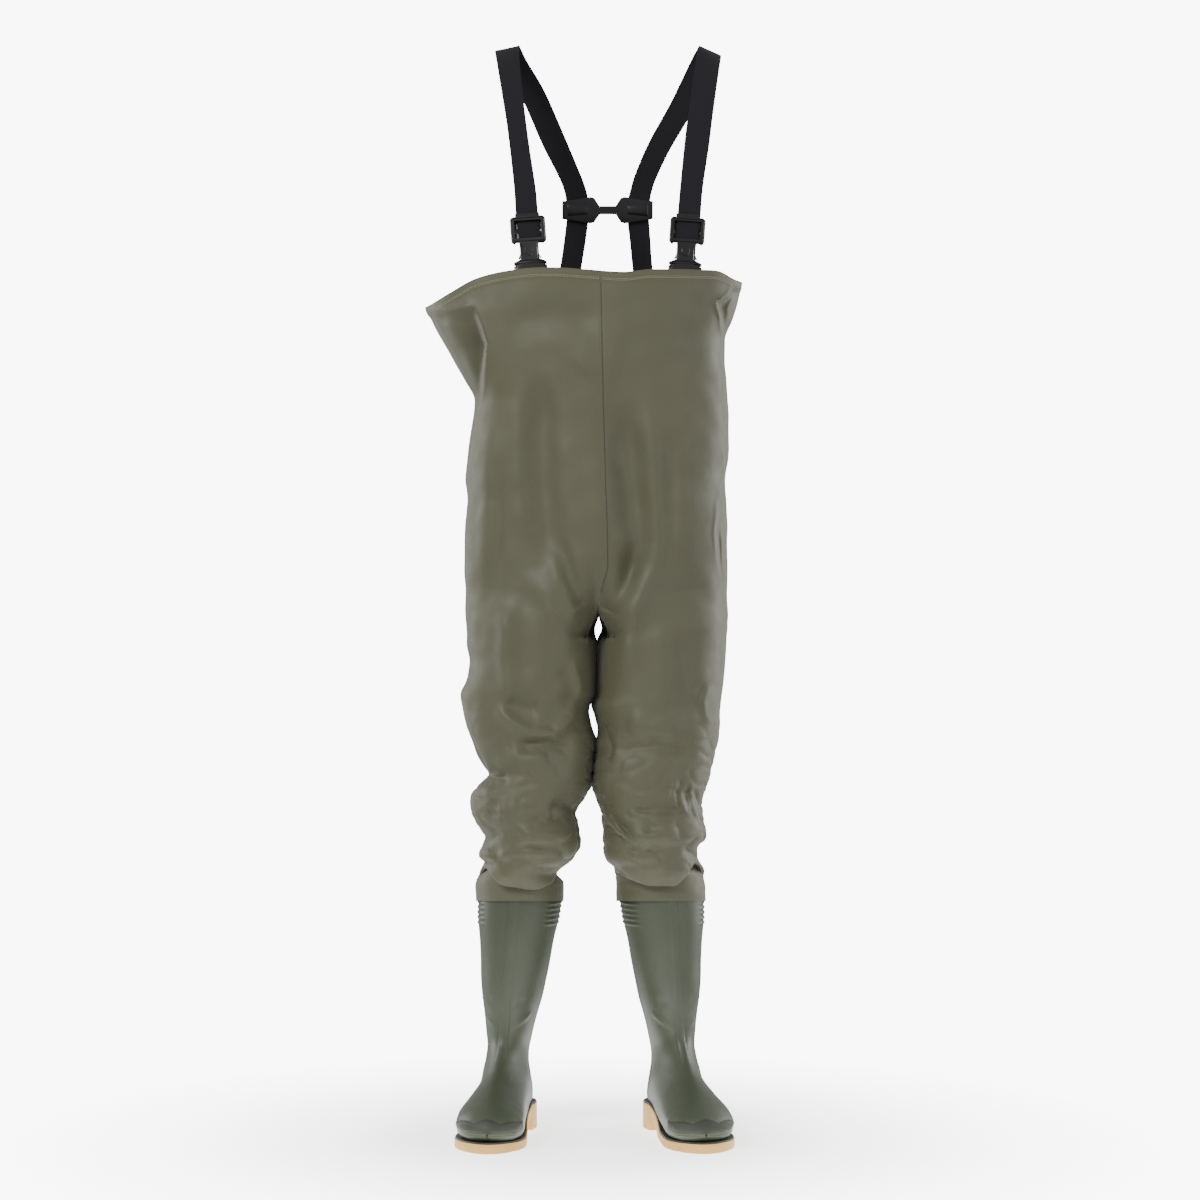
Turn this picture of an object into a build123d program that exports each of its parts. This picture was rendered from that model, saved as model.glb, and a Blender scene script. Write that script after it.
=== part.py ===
from build123d import *
import os
from math import cos, sin, radians, atan, degrees, pi

# Chest waders: a coated-fabric suit with integral moulded boots, held up by two elastic
# webbing straps that run from quick-release buckles on the bib, over the shoulders,
# through an H-shaped back link, to the back of the bib.
#
# Units are millimetres.  +Z is up, the wearer faces -Y, and the floor under the boot
# soles is z = 0.  "left" and "right" are as seen from in front.

OUT = "parts"
os.makedirs(OUT, exist_ok=True)

# ---------------------------------------------------------------- driving dimensions
WALL = 3.0                 # coated fabric with its folds, as a stand-in thickness
LAYER_GAP = 0.3            # air between two layers that follow the same curve
HEM_WALL = 2.0             # extra layer of the turned-over hem
HEM_HEIGHT = 28.0
SUIT_MID_X = 35.0          # wearer's middle at chest height
RIM_FRONT = (35.0, -108.0, 1326.0)   # point of the bib rim at the front
RIM_RISE_X = 0.045         # rim height gained per mm to the right
RIM_DROP_Y = 0.205         # rim height lost per mm to the back
TORSO_FLOOR = 815.0
SEAM_FOOT = (12.0, 35.0, 600.0)      # the middle seam passes here
SEAM_LEAN = 0.0205         # sideways lean of the middle seam per mm of height

HIP_TOP, HIP_FOOT = 905.0, 705.0
KNEE_TOP, KNEE_FOOT = 600.0, 412.0
CUFF_FOOT = 364.0
BOOT_TOP = 384.0

BOOT_Y = 38.0              # ankle, front to back
BOOT_WALL = 3.0
LINING_WALL = 1.0
INSOLE = 4.0
SOLE_FLARE = 3.0           # how far the sole stands out past the upper
FORE_SOLE, HEEL_SOLE = 15.0, 42.0    # sole edge height under toe and heel
RAND = 2.5                 # dark joint band between sole and upper

STRAP_WIDTH, STRAP_THICK = 37.0, 2.0
STRAP_PIVOT = (35.0, 170.0, 1276.0)  # where the straps leave the back of the bib
BUCKLE_OFFSET = 118.0      # buckle mouth, sideways from the wearer's middle
BUCKLE_Y = {"left": -76.0, "right": -62.0}
BUCKLE_Z = 1340.0
BUCKLE_LEAN_BACK = 13.0    # degrees
BUCKLE_LEAN_OUT = 4.0      # degrees
LINK_OFFSET, LINK_Y, LINK_Z = 47.0, 136.0, 1448.0
LINK_LEAN = degrees(atan(0.17))      # the back link leans forward with the straps

# Torso rings: height, left edge, right edge, front edge, back edge.
TORSO = [
    (TORSO_FLOOR, -176, 211, -60, 130),
    (891, -184, 221, -86, 152),
    (967, -183, 218, -91, 155),
    (1042, -181, 223, -95, 158),
    (1118, -171, 222, -99, 160),
    (1194, -199, 216, -103, 163),
    (1269, -234, 228, -107, 167),
    (1345, -244, 246, -110, 172),
]
# Leg rings: height, centre x, half width, centre y, half depth.
LEGS = {
    "left": [
        (KNEE_FOOT, -98, 66, 42, 78), (474, -87, 76, 40, 86), (536, -83, 85, 38, 93),
        (598, -83, 88, 38, 96), (660, -91, 97, 38, 101), (722, -85, 95, 38, 105),
        (784, -86, 98, 36, 109), (846, -84, 99, 35, 112), (908, -81, 99, 35, 114),
    ],
    "right": [
        (KNEE_FOOT, 112, 68, 42, 80), (474, 106, 78, 40, 86), (536, 102, 84, 38, 93),
        (598, 109, 94, 38, 97), (660, 111, 97, 38, 101), (722, 117, 99, 38, 105),
        (784, 121, 99, 36, 109), (846, 121, 100, 35, 112), (908, 118, 101, 35, 114),
    ],
}
# Boots: ankle x, toe-out angle, and -1 where the inner side of the foot is at +X.
BOOTS = {"left": (-124.0, 8.0, -1), "right": (142.0, 13.0, 1)}
# Boot shaft rings: height, centre towards the inner side, half width, centre y, half depth.
SHAFT = [
    (36, 0, 35, 34, 48), (80, -2, 33, 28, 48), (120, -3, 31, 20, 52),
    (180, 3, 40, 16, 58), (240, 11, 51, 12, 64), (300, 16, 58, 9, 69),
    (BOOT_TOP, 21, 64, 6, 74), (KNEE_FOOT, 23, 65, 5, 75),
]
# Foot rings: distance behind the ankle, centre towards the inner side, half width, top.
FOOT = [
    (86, 0, 16, 84), (78, 0, 28, 104), (50, 0, 37, 128), (10, 0, 37, 138),
    (-40, 0, 39, 114), (-90, -2, 47, 88), (-140, -1, 51, 71), (-178, 3, 42, 58),
    (-198, 6, 25, 47), (-205, 7, 12, 39),
]
FOOT_AXIS_Z = 23.0


def save(name, shape):
    export_step(shape, os.path.join(OUT, name + ".step"))


# ---------------------------------------------------------------- helpers
def slab(low, high):
    """Everything between two heights."""
    return Pos(0, 0, (low + high) / 2) * Box(1600, 1600, high - low)


def ring(z, left, right, front, back, grow=0.0, power=2.3, count=16):
    """A closed, slightly squared oval with its own reach on each of four sides."""
    mid_y = (front + back) / 2
    reach = {
        "left": SUIT_MID_X - left + grow, "right": right - SUIT_MID_X + grow,
        "front": mid_y - front + grow, "back": back - mid_y + grow,
    }
    points = []
    for k in range(count):
        c, s = cos(2 * pi * k / count), sin(2 * pi * k / count)
        x = abs(c) ** (2 / power) * (reach["right"] if c > 0 else -reach["left"])
        y = abs(s) ** (2 / power) * (reach["back"] if s > 0 else -reach["front"])
        points.append((SUIT_MID_X + x, mid_y + y, z))
    return make_face(Spline(*points, periodic=True))


def torso_solid(grow=0.0, floor=0.0):
    rings = [(TORSO[0][0] + floor, *TORSO[0][1:])] + TORSO[1:]
    return loft([ring(*r, grow=grow) for r in rings])


def oval_stack(rings, grow=0.0):
    """A tube core through level ellipses: height, centre x, half width, centre y, half depth."""
    return loft([
        Plane.XY.offset(z) * Pos(cx, cy) * Ellipse(rx + grow, ry + grow)
        for z, cx, rx, cy, ry in rings
    ])


def ribbon(stations, thick=STRAP_THICK, width=STRAP_WIDTH):
    """Flat webbing through stations of (point, width direction)."""
    faces = []
    for i, (point, across) in enumerate(stations):
        before = Vector(*stations[max(i - 1, 0)][0])
        after = Vector(*stations[min(i + 1, len(stations) - 1)][0])
        along = (after - before).normalized()
        side = Vector(*across)
        side = (side - along * side.dot(along)).normalized()
        plane = Plane(origin=point, x_dir=side, z_dir=along)
        faces.append(plane * Rectangle(width, thick))
    return loft(faces, ruled=True)


# ---------------------------------------------------------------- suit
rim_normal = (-RIM_RISE_X, RIM_DROP_Y, 1)
rim_plane = Plane(origin=RIM_FRONT, x_dir=(1, 0, RIM_RISE_X), z_dir=rim_normal)
above_rim = rim_plane * Pos(0, 0, 200) * Box(1200, 1200, 400)
hem_band = rim_plane * Pos(0, 0, -HEM_HEIGHT / 2) * Box(1200, 1200, HEM_HEIGHT)

seam_plane = Plane(origin=SEAM_FOOT, x_dir=(0, 1, 0), z_dir=(1, 0, -SEAM_LEAN))
half_block = {
    "left": seam_plane * Pos(0, 0, -400) * Box(3000, 3000, 800),
    "right": seam_plane * Pos(0, 0, 400) * Box(3000, 3000, 800),
}

bib_outer = torso_solid()
bib_core = torso_solid(grow=-WALL, floor=WALL)
leg_outer = {side: oval_stack(rings) for side, rings in LEGS.items()}
leg_core = {side: oval_stack(rings, grow=-WALL) for side, rings in LEGS.items()}
core = bib_core + leg_core["left"] + leg_core["right"]

for side in ("left", "right"):
    upper = (bib_outer - core) - above_rim
    save(f"{side}_bib_panel", upper & half_block[side] & slab(HIP_TOP, 1500))
    body = (bib_outer + leg_outer[side]) & half_block[side]
    save(f"{side}_hip_panel", (body & slab(HIP_FOOT, HIP_TOP)) - core)
    leg = leg_outer[side] - leg_core[side]
    save(f"{side}_thigh_panel", leg & slab(KNEE_TOP, HIP_FOOT))
    save(f"{side}_knee_panel", leg & slab(KNEE_FOOT, KNEE_TOP))

hem_layer = torso_solid(grow=HEM_WALL + LAYER_GAP) - torso_solid(grow=LAYER_GAP)
save("bib_rim_hem", hem_layer & hem_band)


# ---------------------------------------------------------------- boots
def side_profile(lift):
    """Everything below the line where the sole meets the upper, raised by lift."""
    top = [(-260, FORE_SOLE + 3), (-150, FORE_SOLE), (-75, FORE_SOLE), (15, HEEL_SOLE),
           (140, HEEL_SOLE)]
    points = [(140, -60), (-260, -60)] + [(y, z + lift) for y, z in top]
    face = make_face(Polyline(*[(0, y, z) for y, z in points], close=True))
    return extrude(face, amount=120, dir=(1, 0, 0), both=True)


def foot_solid(grow=0.0):
    sections = []
    for y, cx, rx, top in FOOT:
        tall = top - FOOT_AXIS_Z
        end = grow if y in (FOOT[0][0], FOOT[-1][0]) else 0.0
        shift = end if y > 0 else -end
        plane = Plane.XZ.offset(-(y + shift))
        sections.append(plane * Pos(cx, FOOT_AXIS_Z) * Ellipse(rx + grow, tall + grow))
    return loft(sections)


def sole_outline(flare):
    """Plan of the sole, from the widest points of the foot and heel, inner side at +X."""
    heel_y, toe_y = 88.0 + flare, -207.0 - flare
    right_side = [(38 + flare, 52), (36 + flare, 0), (41 + flare, -60), (49 + flare, -115),
                  (47 + flare, -165)]
    left_side = [(-37 - flare, 52), (-36 - flare, 0), (-44 - flare, -60), (-53 - flare, -115),
                 (-42 - flare, -170)]
    points = [(0, heel_y)] + right_side + [(8, toe_y)] + left_side[::-1]
    return make_face(Spline(*points, periodic=True))


def outsole():
    """Moulded sole: flat tread, raised arch, a separate heel block and side lugs."""
    block = extrude(sole_outline(SOLE_FLARE), amount=HEEL_SOLE + 10)
    block = block & side_profile(-RAND)
    arch = make_face(Polyline((0, -48, -1), (0, -30, 9), (0, 0, 20), (0, 14, 22), (0, 14, -1),
                              close=True))
    block = block - extrude(arch, amount=120, dir=(1, 0, 0), both=True)
    groove_depth, groove_width = 6.0, 5.0
    for y in (-180, -160, -140, -120, -100, -80, -62, 30, 46, 62):
        for side in (-1, 1):
            groove = Box(26, groove_width, groove_depth * 2)
            block = block - Pos(side * 52, y, 0) * Rot(0, 0, side * 12) * groove
    for y in (-170, -150, -130, -110, -90, -72, 38, 54):
        block = block - Pos(0, y, 0) * Box(44, groove_width, groove_depth * 2)
    return block


def sole_layer(flare, low, high):
    """Flat-sided layer of the sole's plan between two lifts of the sole line."""
    plan = extrude(sole_outline(flare), amount=HEEL_SOLE + 60)
    return (plan & side_profile(high)) - side_profile(low)


def boot_skin(grow):
    return oval_stack(SHAFT, grow) + foot_solid(grow)


def boot_pieces():
    """One boot about its ankle, toe towards -Y, inner side of the foot at +X."""
    lower = slab(-5, BOOT_TOP)
    outer = boot_skin(0)
    cavity = boot_skin(-BOOT_WALL)
    lining = boot_skin(-BOOT_WALL - LAYER_GAP)
    room = boot_skin(-BOOT_WALL - LAYER_GAP - LINING_WALL)
    floor_in = BOOT_WALL + LAYER_GAP
    pieces = {
        "boot_upper": ((outer & lower) - side_profile(0)) - (cavity - side_profile(BOOT_WALL)),
        "boot_lining": ((lining - room) & slab(-5, BOOT_TOP - 4)) - side_profile(floor_in),
        "boot_insole": sole_layer(-10, floor_in, floor_in + INSOLE),
        "boot_outsole": outsole(),
        "boot_rand": sole_layer(SOLE_FLARE - 1.5, -RAND, 0),
    }
    guard = foot_solid(2.5 + LAYER_GAP) - foot_solid(LAYER_GAP) - side_profile(LAYER_GAP)
    pieces["boot_toe_guard"] = guard & slab(0, 46) & (Pos(0, -180, 40) * Box(200, 120, 200))
    heel = (boot_skin(3.0) - boot_skin(LAYER_GAP)) & (Pos(0, 100, 60) * Box(60, 80, 60))
    spurs = [heel & slab(z, z + 6) for z in (56, 68, 80)]
    pieces["boot_heel_ridges"] = spurs[0] + spurs[1] + spurs[2]
    cuff = oval_stack(SHAFT, WALL + LAYER_GAP) - oval_stack(SHAFT, LAYER_GAP)
    pieces["leg_cuff"] = cuff & slab(CUFF_FOOT, KNEE_FOOT)
    return pieces


for side, (ankle_x, toe_out, hand) in BOOTS.items():
    place = Pos(ankle_x, BOOT_Y, 0) * Rot(0, 0, hand * toe_out)
    for name, piece in boot_pieces().items():
        if hand > 0:
            piece = mirror(piece, about=Plane.YZ)
        save(f"{side}_{name}", place * piece)


# ---------------------------------------------------------------- buckles
# Buckle frame: z runs up the strap from the socket's mouth, y points back, x across.
FRAME_FOOT, FRAME_TOP = 34.0, 75.0
FRAME_HALF, FRAME_OPENING = 27.0, 20.5
FRONT_FACE, BACK_FACE = -5.5, 4.5
STRAP_GAP = 1.5            # bars stay this far from the webbing's middle plane
NECK_HALF = 13.0
FLANGE = 7.0
PLATE_HALF, PLATE_FOOT = 20.0, -32.0
CAVITY_HALF, CAVITY_FOOT = 17.5, -24.0
SOCKET_HALF_THICK, CAVITY_HALF_THICK = 6.0, 3.8
SLOT_FOOT = -15.0
GUIDE_HALF, GUIDE_LENGTH = 3.5, 19.0
PRONG_THICK = 2.6
PLUG_TRAVEL = 24.0


def block(x0, x1, y0, y1, z0, z1):
    return Pos((x0 + x1) / 2, (y0 + y1) / 2, (z0 + z1) / 2) * Box(x1 - x0, y1 - y0, z1 - z0)


def upright(points, y0, y1):
    """A plate drawn in x and z, from y0 to y1."""
    face = make_face(Polyline(*[(x, y0, z) for x, z in points], close=True))
    return extrude(face, amount=y1 - y0, dir=(0, 1, 0))


def buckle_socket():
    """Socket half: two plates round a cavity, open at the sides for the prong buttons."""
    plate = [(-PLATE_HALF + 3, PLATE_FOOT), (PLATE_HALF - 3, PLATE_FOOT), (PLATE_HALF, -26),
             (PLATE_HALF, -2), (12, 0), (-12, 0), (-PLATE_HALF, -2), (-PLATE_HALF, -26)]
    body = upright(plate, -SOCKET_HALF_THICK, SOCKET_HALF_THICK)
    body -= block(-CAVITY_HALF, CAVITY_HALF, -CAVITY_HALF_THICK, CAVITY_HALF_THICK,
                  CAVITY_FOOT, 1)
    body -= block(-40, 40, -CAVITY_HALF_THICK, CAVITY_HALF_THICK, SLOT_FOOT, 1)
    body -= block(-18.5, 18.5, -10, 10, -30, -26)
    body -= block(-18.5, 18.5, -10, -4, PLATE_FOOT - 1, -26)
    body -= block(-18.5, 18.5, 4, 10, PLATE_FOOT - 1, -26)
    return body


def buckle_plug():
    """Plug half: webbing frame, neck, shoulder flange and the centre guide."""
    frame = block(-FRAME_HALF, FRAME_HALF, FRONT_FACE, BACK_FACE, FRAME_FOOT, FRAME_TOP)
    corners = frame.edges().filter_by(Axis.Y)
    frame = fillet(corners, 6.0)
    frame -= block(-FRAME_OPENING, FRAME_OPENING, -20, 20, 40, 69)
    frame -= block(-FRAME_OPENING, FRAME_OPENING, -STRAP_GAP, 20, FRAME_FOOT - 1, FRAME_TOP + 1)
    frame += block(-FRAME_OPENING - 1, FRAME_OPENING + 1, STRAP_GAP, BACK_FACE, 50, 58)
    lift_tab = block(-STRAP_WIDTH / 2, STRAP_WIDTH / 2, FRONT_FACE, -3.2, FRAME_TOP - 2, 80)
    neck = block(-NECK_HALF, NECK_HALF, FRONT_FACE, -STRAP_GAP - 0.2, FLANGE - 1, FRAME_FOOT + 2)
    ribs = [block(s * NECK_HALF - 1.5, s * NECK_HALF + 1.5, FRONT_FACE - 1.5, -STRAP_GAP - 0.2,
                  FLANGE - 1, FRAME_FOOT - 2) for s in (-1, 1)]
    flange = upright([(-25, 0.4), (25, 0.4), (25, 1.5), (NECK_HALF, FLANGE),
                      (-NECK_HALF, FLANGE), (-25, 1.5)], FRONT_FACE, BACK_FACE + 1)
    guide = block(-GUIDE_HALF, GUIDE_HALF, -2.4, 2.4, -GUIDE_LENGTH, 1)
    return frame + lift_tab + neck + ribs[0] + ribs[1] + flange + guide


def buckle_prong(side):
    """Springy prong with its finger button, just under the flange, at +X or -X."""
    outline = [(8.5, 0), (12.5, 0), (13.5, -2), (21, -1), (25.5, -4), (25.5, -8), (21, -13),
               (15.5, -14.5), (15.5, -20), (12, -21.5), (9.5, -19), (10.2, -12)]
    return upright([(side * x, z) for x, z in outline], -PRONG_THICK, PRONG_THICK)


def socket_tab():
    """Webbing looped round the socket's bar, its two ends sewn flat inside the bib."""
    x = -STRAP_WIDTH / 2 + 1
    outer = [(-6, -33.5), (-6, -26.6), (6, -26.6), (6, -33.5), (15.4, -80), (10.6, -81)]
    loop = [(-4.4, -33.5), (-4.4, -29.6), (4.4, -29.6), (4.4, -33.5), (9.8, -60), (4.9, -60)]
    face = make_face(Polyline(*[(x, y, z) for y, z in outer], close=True))
    face -= make_face(Polyline(*[(x, y, z) for y, z in loop], close=True))
    return extrude(face, amount=STRAP_WIDTH - 2, dir=(1, 0, 0))


HANDS = {"left": -1, "right": 1}


def buckle_place(side):
    """The buckle's own frame in the suit: leaning back and outwards."""
    hand = HANDS[side]
    out = sin(radians(BUCKLE_LEAN_OUT)) * hand
    back, up = sin(radians(BUCKLE_LEAN_BACK)), cos(radians(BUCKLE_LEAN_BACK))
    axis = Vector(out, back, up).normalized()
    across = Vector(1, 0, -out / up)
    origin = (SUIT_MID_X + hand * BUCKLE_OFFSET, BUCKLE_Y[side], BUCKLE_Z)
    return Plane(origin=origin, x_dir=across, z_dir=axis)


for side, hand in HANDS.items():
    place = buckle_place(side)
    save(f"{side}_buckle_socket", place * buckle_socket())
    save(f"{side}_buckle_plug", place * buckle_plug())
    save(f"{side}_prong_outer", place * buckle_prong(hand))
    save(f"{side}_prong_inner", place * buckle_prong(-hand))
    save(f"{side}_socket_tab", place * socket_tab())


# ---------------------------------------------------------------- straps and back link
# Strap route above the buckle: sideways offset, y, z, and the tilt of its width.
SHOULDER_ROUTE = [
    (130, -46, 1474, 0.12), (138, -28, 1532, 0.12), (146, -9, 1590, 0.13),
    (151, 10, 1643, 0.16), (153, 24, 1669, 0.21), (152.5, 34, 1680, 0.25),
    (151, 46, 1684, 0.28), (148, 58, 1680, 0.33), (144, 67, 1668, 0.38),
    (124, 82, 1627, 0.46), (103, 98, 1587, 0.48), (76, 115, 1530, 0.45),
    (58, 127, 1496, 0.30),
]
BACK_ROUTE = [(51, 149, 1380, 0.03), (55, 155, 1350, 0.06)]
LINK_SLOPE = 0.17


def strap_route(side):
    hand = HANDS[side]
    plug = buckle_place(side)
    low = [plug.from_local_coords(Vector(0, 0, t)) for t in (FRAME_FOOT + 3, 74, 112)]
    across = tuple(plug.x_dir)
    stations = [(tuple(p), across) for p in low]
    stations += [((SUIT_MID_X + hand * off, y, z), (1, 0, -hand * tilt))
                 for off, y, z, tilt in SHOULDER_ROUTE]
    stations += [((SUIT_MID_X + hand * LINK_OFFSET, LINK_Y - LINK_SLOPE * dz, LINK_Z + dz),
                  (1, 0, 0)) for dz in (34, -34)]
    stations += [((SUIT_MID_X + hand * off, y, z), (1, 0, -hand * tilt))
                 for off, y, z, tilt in BACK_ROUTE]
    foot_x = SUIT_MID_X + hand * 63
    foot_z = STRAP_PIVOT[2] + RIM_RISE_X * (foot_x - SUIT_MID_X)
    stations.append(((foot_x, STRAP_PIVOT[1], foot_z), (1, 0, -hand * 0.09)))
    return stations


def back_link():
    """One moulded H: a ladder frame at each end for a strap, joined by a narrow bar."""
    half = STRAP_WIDTH / 2 + 2.6
    link = block(-LINK_OFFSET, LINK_OFFSET, -5.0, -STRAP_GAP, -6.5, 6.5)
    for hand in (-1, 1):
        mid = hand * LINK_OFFSET
        outer, inner = mid + hand * (half + 4), mid - hand * (half + 5)
        ends = [(outer, -14), (outer, 14), (inner + hand * 6, 21), (inner, 19),
                (inner - hand * 8, 6.5), (inner - hand * 8, -6.5), (inner, -19),
                (inner + hand * 6, -21)]
        frame = upright(ends, -5.0, 5.0)
        frame -= block(mid - half, mid + half, -STRAP_GAP, 20, -30, 30)
        raised = [(mid + hand * 17, -9), (mid + hand * 17, 9), (mid - hand * 15, 6),
                  (mid - hand * 15, -6)]
        frame += upright(raised, -6.2, -4.0)
        frame += block(mid - half - 1, mid + half + 1, STRAP_GAP, 5.0, -12, -5)
        frame += block(mid - half - 1, mid + half + 1, STRAP_GAP, 5.0, 5, 12)
        link += frame
    return link


link_axis = Vector(0, -sin(radians(LINK_LEAN)), cos(radians(LINK_LEAN)))
link_place = Plane(origin=(SUIT_MID_X, LINK_Y, LINK_Z), x_dir=(1, 0, 0), z_dir=link_axis)
save("back_link", link_place * back_link())

ANCHOR_LENGTH, ANCHOR_TURN = 66.0, -4.0     # sewn patch under each back strap
for side, hand in HANDS.items():
    save(f"{side}_strap", ribbon(strap_route(side)))
    foot_x = SUIT_MID_X + hand * 63
    foot_z = STRAP_PIVOT[2] + RIM_RISE_X * (foot_x - SUIT_MID_X)
    patch = Box(STRAP_WIDTH, STRAP_THICK, ANCHOR_LENGTH)
    middle = Pos(foot_x, STRAP_PIVOT[1], foot_z - 6) * Rot(ANCHOR_TURN, 0, -hand * 8)
    save(f"{side}_strap_anchor", middle * Pos(0, 0, -ANCHOR_LENGTH / 2) * patch)
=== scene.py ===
import math
import bpy
import numpy as np
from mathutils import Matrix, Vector


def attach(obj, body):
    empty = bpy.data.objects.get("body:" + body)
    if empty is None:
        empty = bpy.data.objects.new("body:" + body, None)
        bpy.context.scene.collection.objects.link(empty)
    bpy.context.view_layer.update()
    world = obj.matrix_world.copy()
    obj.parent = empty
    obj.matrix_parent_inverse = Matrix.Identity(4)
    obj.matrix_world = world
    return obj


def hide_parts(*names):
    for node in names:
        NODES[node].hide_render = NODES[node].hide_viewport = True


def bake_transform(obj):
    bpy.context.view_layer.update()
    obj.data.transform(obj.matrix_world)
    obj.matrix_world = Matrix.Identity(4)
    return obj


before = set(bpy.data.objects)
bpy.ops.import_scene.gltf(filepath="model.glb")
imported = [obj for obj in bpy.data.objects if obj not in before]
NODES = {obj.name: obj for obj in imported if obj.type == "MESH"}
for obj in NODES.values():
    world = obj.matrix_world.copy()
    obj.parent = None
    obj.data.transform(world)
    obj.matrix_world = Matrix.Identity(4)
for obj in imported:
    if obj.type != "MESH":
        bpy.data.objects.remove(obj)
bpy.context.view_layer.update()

SIDES = ("left", "right")

# ------------------------------------------------------------------ camera and projection
# Outlines below are written as they look from the front: x and z in mm on the upright
# plane y = 0 as the camera sees it.  seen() moves such a point to its real depth.
EYE = np.array([23.0, -4900.0, 828.0])

camera = bpy.data.cameras.new("camera")
camera.lens, camera.sensor_width = 95.0, 36.0
camera.clip_end = 50
camera_object = bpy.data.objects.new("camera", camera)
camera_object.location = EYE / 1000
camera_object.rotation_euler = (math.pi / 2, 0, 0)
bpy.context.scene.collection.objects.link(camera_object)
bpy.context.scene.camera = camera_object


def seen(x, z, y):
    """Real x and z (mm) of a point that looks to be at x, z from the front, at depth y."""
    k = (y - EYE[1]) / -EYE[1]
    return EYE[0] + (x - EYE[0]) * k, EYE[2] + (z - EYE[2]) * k


def smooth(t):
    t = np.clip(t, 0, 1)
    return t * t * (3 - 2 * t)


def curve(points, at):
    """Values of a smooth curve through (position, value...) rows, in rising position."""
    rows = np.array(sorted(points), float)
    xs, out = rows[:, 0], []
    at = np.clip(np.asarray(at, float), xs[0], xs[-1])
    i = np.clip(np.searchsorted(xs, at) - 1, 0, len(xs) - 2)
    t = (at - xs[i]) / (xs[i + 1] - xs[i])
    for ys in rows[:, 1:].T:
        d = np.diff(ys) / np.diff(xs)
        m = np.concatenate([[d[0]], (d[1:] + d[:-1]) / 2, [d[-1]]])
        m[1:-1] = np.where(d[1:] * d[:-1] <= 0, 0, m[1:-1])
        limit = 3 * np.minimum(np.abs(np.r_[d[0], d]), np.abs(np.r_[d, d[-1]]))
        m = np.clip(m, -limit, limit)
        h = xs[i + 1] - xs[i]
        out.append((2 * t**3 - 3 * t**2 + 1) * ys[i] + (t**3 - 2 * t**2 + t) * h * m[i]
                   + (3 * t**2 - 2 * t**3) * ys[i + 1] + (t**3 - t**2) * h * m[i + 1])
    return out[0] if len(out) == 1 else out


# ------------------------------------------------------------------ materials
class Nodes:
    """A short way to write a node material."""

    def __init__(self, name):
        self.material = bpy.data.materials.new(name)
        self.material.use_nodes = True
        self.tree = self.material.node_tree
        self.tree.nodes.clear()
        self.out = self.add("ShaderNodeOutputMaterial")
        self.shader = self.add("ShaderNodeBsdfPrincipled")
        self.link(self.shader, "BSDF", self.out, "Surface")

    def add(self, kind, **values):
        node = self.tree.nodes.new(kind)
        for key, value in values.items():
            if hasattr(node, key):
                setattr(node, key, value)
            else:
                node.inputs[key.replace("_", " ")].default_value = value
        return node

    def link(self, a, a_name, b, b_name):
        self.tree.links.new(a.outputs[a_name], b.inputs[b_name])

    def set(self, **values):
        """Sets the shader's own sockets, named with _ for a space."""
        for key, value in values.items():
            self.shader.inputs[key.replace("_", " ")].default_value = value

    def coords(self, uv=False, scale=(1, 1, 1)):
        source = self.add("ShaderNodeTexCoord")
        mapping = self.add("ShaderNodeMapping")
        mapping.inputs["Scale"].default_value = scale
        self.link(source, "UV" if uv else "Object", mapping, "Vector")
        return mapping

    def noise(self, at, scale, detail=3.0, rough=0.5):
        n = self.add("ShaderNodeTexNoise", Scale=scale, Detail=detail, Roughness=rough)
        self.link(at, "Vector", n, "Vector")
        return n

    def ramp(self, source, socket, stops):
        r = self.add("ShaderNodeValToRGB")
        for element, (place, color) in zip(r.color_ramp.elements, (stops[0], stops[-1])):
            element.position, element.color = place, (*color, 1)
        for place, color in stops[1:-1]:
            e = r.color_ramp.elements.new(place)
            e.color = (*color, 1)
        self.link(source, socket, r, "Fac")
        return r

    def bump(self, source, socket, strength, distance, below=None):
        b = self.add("ShaderNodeBump", Strength=strength, Distance=distance)
        self.link(source, socket, b, "Height")
        if below is not None:
            self.link(below, "Normal", b, "Normal")
        return b

    def mix(self, fac, fac_socket, a, b):
        m = self.add("ShaderNodeMix", data_type="RGBA")
        self.tree.links.new(fac.outputs[fac_socket], m.inputs[0])
        for value, index in ((a, 6), (b, 7)):
            if isinstance(value, tuple) and not hasattr(value[0], "outputs"):
                m.inputs[index].default_value = (*value, 1)
            else:
                self.tree.links.new(value[0].outputs[value[1]], m.inputs[index])
        return m


def tint(color, factor):
    return tuple(min(1, c * factor) for c in color)


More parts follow.
